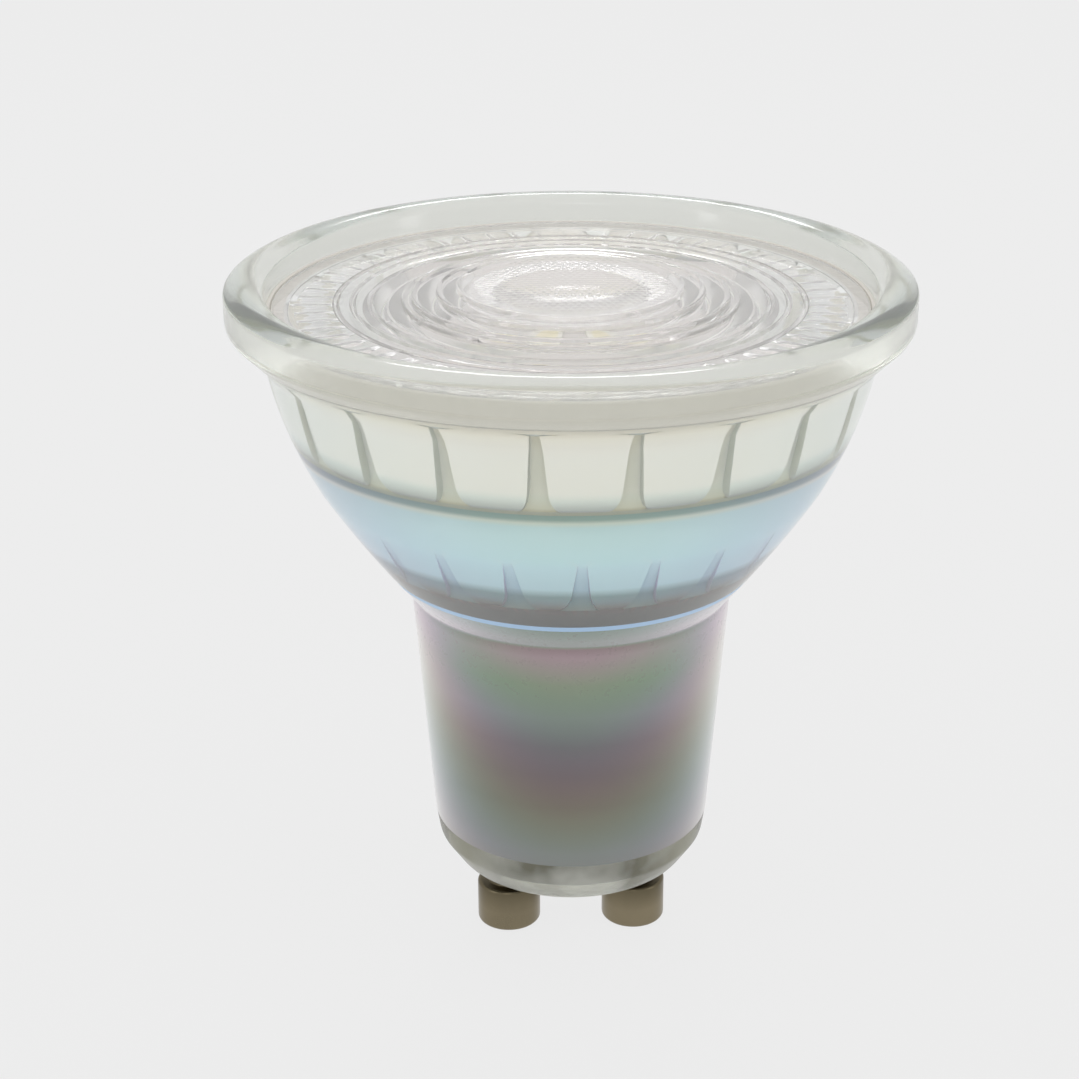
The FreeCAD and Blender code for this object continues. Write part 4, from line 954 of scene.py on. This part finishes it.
FINISHES = {
    "heat_spreader": plain("spun_aluminium", (198, 198, 196), roughness=0.35, metallic=0.9),
    "thermal_pad": plain("pad_rubber", (176, 182, 190), roughness=0.8),
    "led_board": plain("white_board", (202, 196, 194), roughness=0.45),
    "board_resistors": plain("resistor_black", (52, 50, 48), roughness=0.5),
    "header_pin": plain("tinned_pin", (176, 172, 160), roughness=0.3, metallic=1.0),
    "header_solder": plain("solder", (188, 188, 186), roughness=0.3, metallic=1.0),
    "led_case": plain("package_white", (226, 224, 214), roughness=0.4),
    "led_phosphor": plain("phosphor", (222, 212, 168), roughness=0.6),
    "lead_wire": plain("copper", (184, 120, 84), roughness=0.3, metallic=1.0),
    "wire_insulation": plain("wire_white", (214, 212, 204), roughness=0.5),
    "lead_wire_solder": plain("wire_solder", (186, 186, 184), roughness=0.3, metallic=1.0),
    "insulating_sleeve": plain("sleeve_white", (214, 214, 208), roughness=0.5),
    "driver_board": plain("driver_green", (58, 104, 70), roughness=0.45),
    "capacitor_can": plain("can_aluminium", (190, 190, 190), roughness=0.3, metallic=0.9),
    "capacitor_sleeve": plain("shrink_sleeve", (44, 50, 66), roughness=0.35),
    "capacitor_bung": plain("bung_rubber", (36, 34, 34), roughness=0.8),
    "inductor_core": plain("ferrite", (58, 56, 56), roughness=0.7),
    "inductor_winding": plain("winding", (176, 98, 52), roughness=0.3, metallic=0.8),
    "film_capacitor": plain("dipped_red", (146, 52, 38), roughness=0.35),
    "fuse_resistor": plain("fuse_green", (96, 116, 98), roughness=0.5),
    "driver_chip": plain("chip_black", (40, 40, 42), roughness=0.55),
    "bridge_rectifier": plain("rectifier_black", (38, 38, 40), roughness=0.55),
    "output_diode": plain("diode_black", (42, 42, 42), roughness=0.55),
    "driver_resistors": plain("chip_resistor", (48, 46, 46), roughness=0.5),
    "driver_capacitors": plain("chip_capacitor", (158, 130, 100), roughness=0.5),
}
LEADS = plain("tinned_leads", (180, 178, 170), roughness=0.3, metallic=1.0)

for name, node in nodes.items():
    finish = FINISHES.get(name)
    if finish is None and name.endswith("_leads"):
        finish = LEADS
    if finish is None:
        stem = name.rsplit("_", 1)[0]
        finish = FINISHES.get(stem, LEADS)
    node.data.materials.clear()
    node.data.materials.append(finish.material)

for piece, names, slot in (
    (glass, ["glass_body"], "bulb_glass"),
    (lens, ["front_lens"], "lens_clear"),
    (seal, ["lens_seal"], "seal_silicone"),
    (pins[0], ["contact_pin_left"], "pin_nickel"),
    (pins[1], ["contact_pin_right"], "pin_nickel"),
):
    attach(piece, "root")
    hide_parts(*names)


# Floor, light and camera

BACKGROUND = 0.8388
PAPER_GLOW = 0.93


def seen_directly(nodes_of, links):
    """1 where the camera, a reflection or a look through the glass meets the surface."""
    path = nodes_of.new("ShaderNodeLightPath")
    total = path.outputs["Is Camera Ray"]
    for label in ("Is Glossy Ray", "Is Transmission Ray"):
        both = nodes_of.new("ShaderNodeMath")
        both.operation = "MAXIMUM"
        links.new(total, both.inputs[0])
        links.new(path.outputs[label], both.inputs[1])
        total = both.outputs[0]
    return total


world = bpy.data.worlds.new("studio")
bpy.context.scene.world = world
world.use_nodes = True
world_nodes, world_links = world.node_tree.nodes, world.node_tree.links
light = world_nodes["Background"]
light.inputs["Color"].default_value = (1, 1, 1, 1)
light.inputs["Strength"].default_value = 1.0
shown = world_nodes.new("ShaderNodeBackground")
shown.inputs["Color"].default_value = (BACKGROUND, BACKGROUND, BACKGROUND, 1)
both = world_nodes.new("ShaderNodeMixShader")
world_links.new(seen_directly(world_nodes, world_links), both.inputs[0])
world_links.new(light.outputs[0], both.inputs[1])
world_links.new(shown.outputs[0], both.inputs[2])
world_links.new(both.outputs[0], world_nodes["World Output"].inputs["Surface"])

corners = [(-900, -900, 0), (900, -900, 0), (900, 900, 0), (-900, 900, 0)]
floor = mesh_object("floor", corners, [(0, 1, 2, 3)])
paper = Finish("paper")
paper.set(Base_Color=(0.8, 0.8, 0.8, 1), Roughness=0.9, Specular_IOR_Level=0.1)
glow = paper.add("ShaderNodeEmission", Color=(BACKGROUND, BACKGROUND, BACKGROUND, 1), Strength=1.0)
share = paper.add(
    "ShaderNodeMath",
    settings={"operation": "MULTIPLY"},
    i0=seen_directly(paper.nodes, paper.links),
    i1=PAPER_GLOW,
)
mixed = paper.nodes.new("ShaderNodeMixShader")
paper.links.new(share, mixed.inputs[0])
paper.links.new(paper.shader.outputs[0], mixed.inputs[1])
paper.links.new(glow, mixed.inputs[2])
paper.links.new(mixed.outputs[0], paper.output.inputs["Surface"])
floor.data.materials.append(paper.material)


def lamp(name, place, size, power, target=(0, 0, 30)):
    data = bpy.data.lights.new(name, "AREA")
    data.shape = "RECTANGLE"
    data.size, data.size_y = (s * MM for s in size)
    data.energy = power
    made = bpy.data.objects.new(name, data)
    made.location = Vector(place) * MM
    aim = (Vector(target) - Vector(place)).to_track_quat("-Z", "Y")
    made.rotation_euler = aim.to_euler()
    bpy.context.scene.collection.objects.link(made)
    return made


lamp("key", (-40, -360, 300), (180, 40), 0.24)
lamp("side", (-340, -200, 200), (60, 240), 0.12)
lamp("fill", (340, -160, 180), (60, 240), 0.1)
lamp("back", (0, 300, 330), (160, 30), 0.2)

camera_data = bpy.data.cameras.new("camera")
camera = bpy.data.objects.new("camera", camera_data)
camera.location = (-0.00765, -0.16000, 0.09994)
camera.rotation_euler = (math.radians(67.31), 0, math.radians(-2.74))
camera_data.sensor_width = 36
camera_data.lens = 76.42
camera_data.shift_x = -0.0292
camera_data.clip_start = 0.01
camera_data.clip_end = 20
bpy.context.scene.collection.objects.link(camera)
bpy.context.scene.camera = camera
bpy.context.scene.view_settings.view_transform = "Standard"
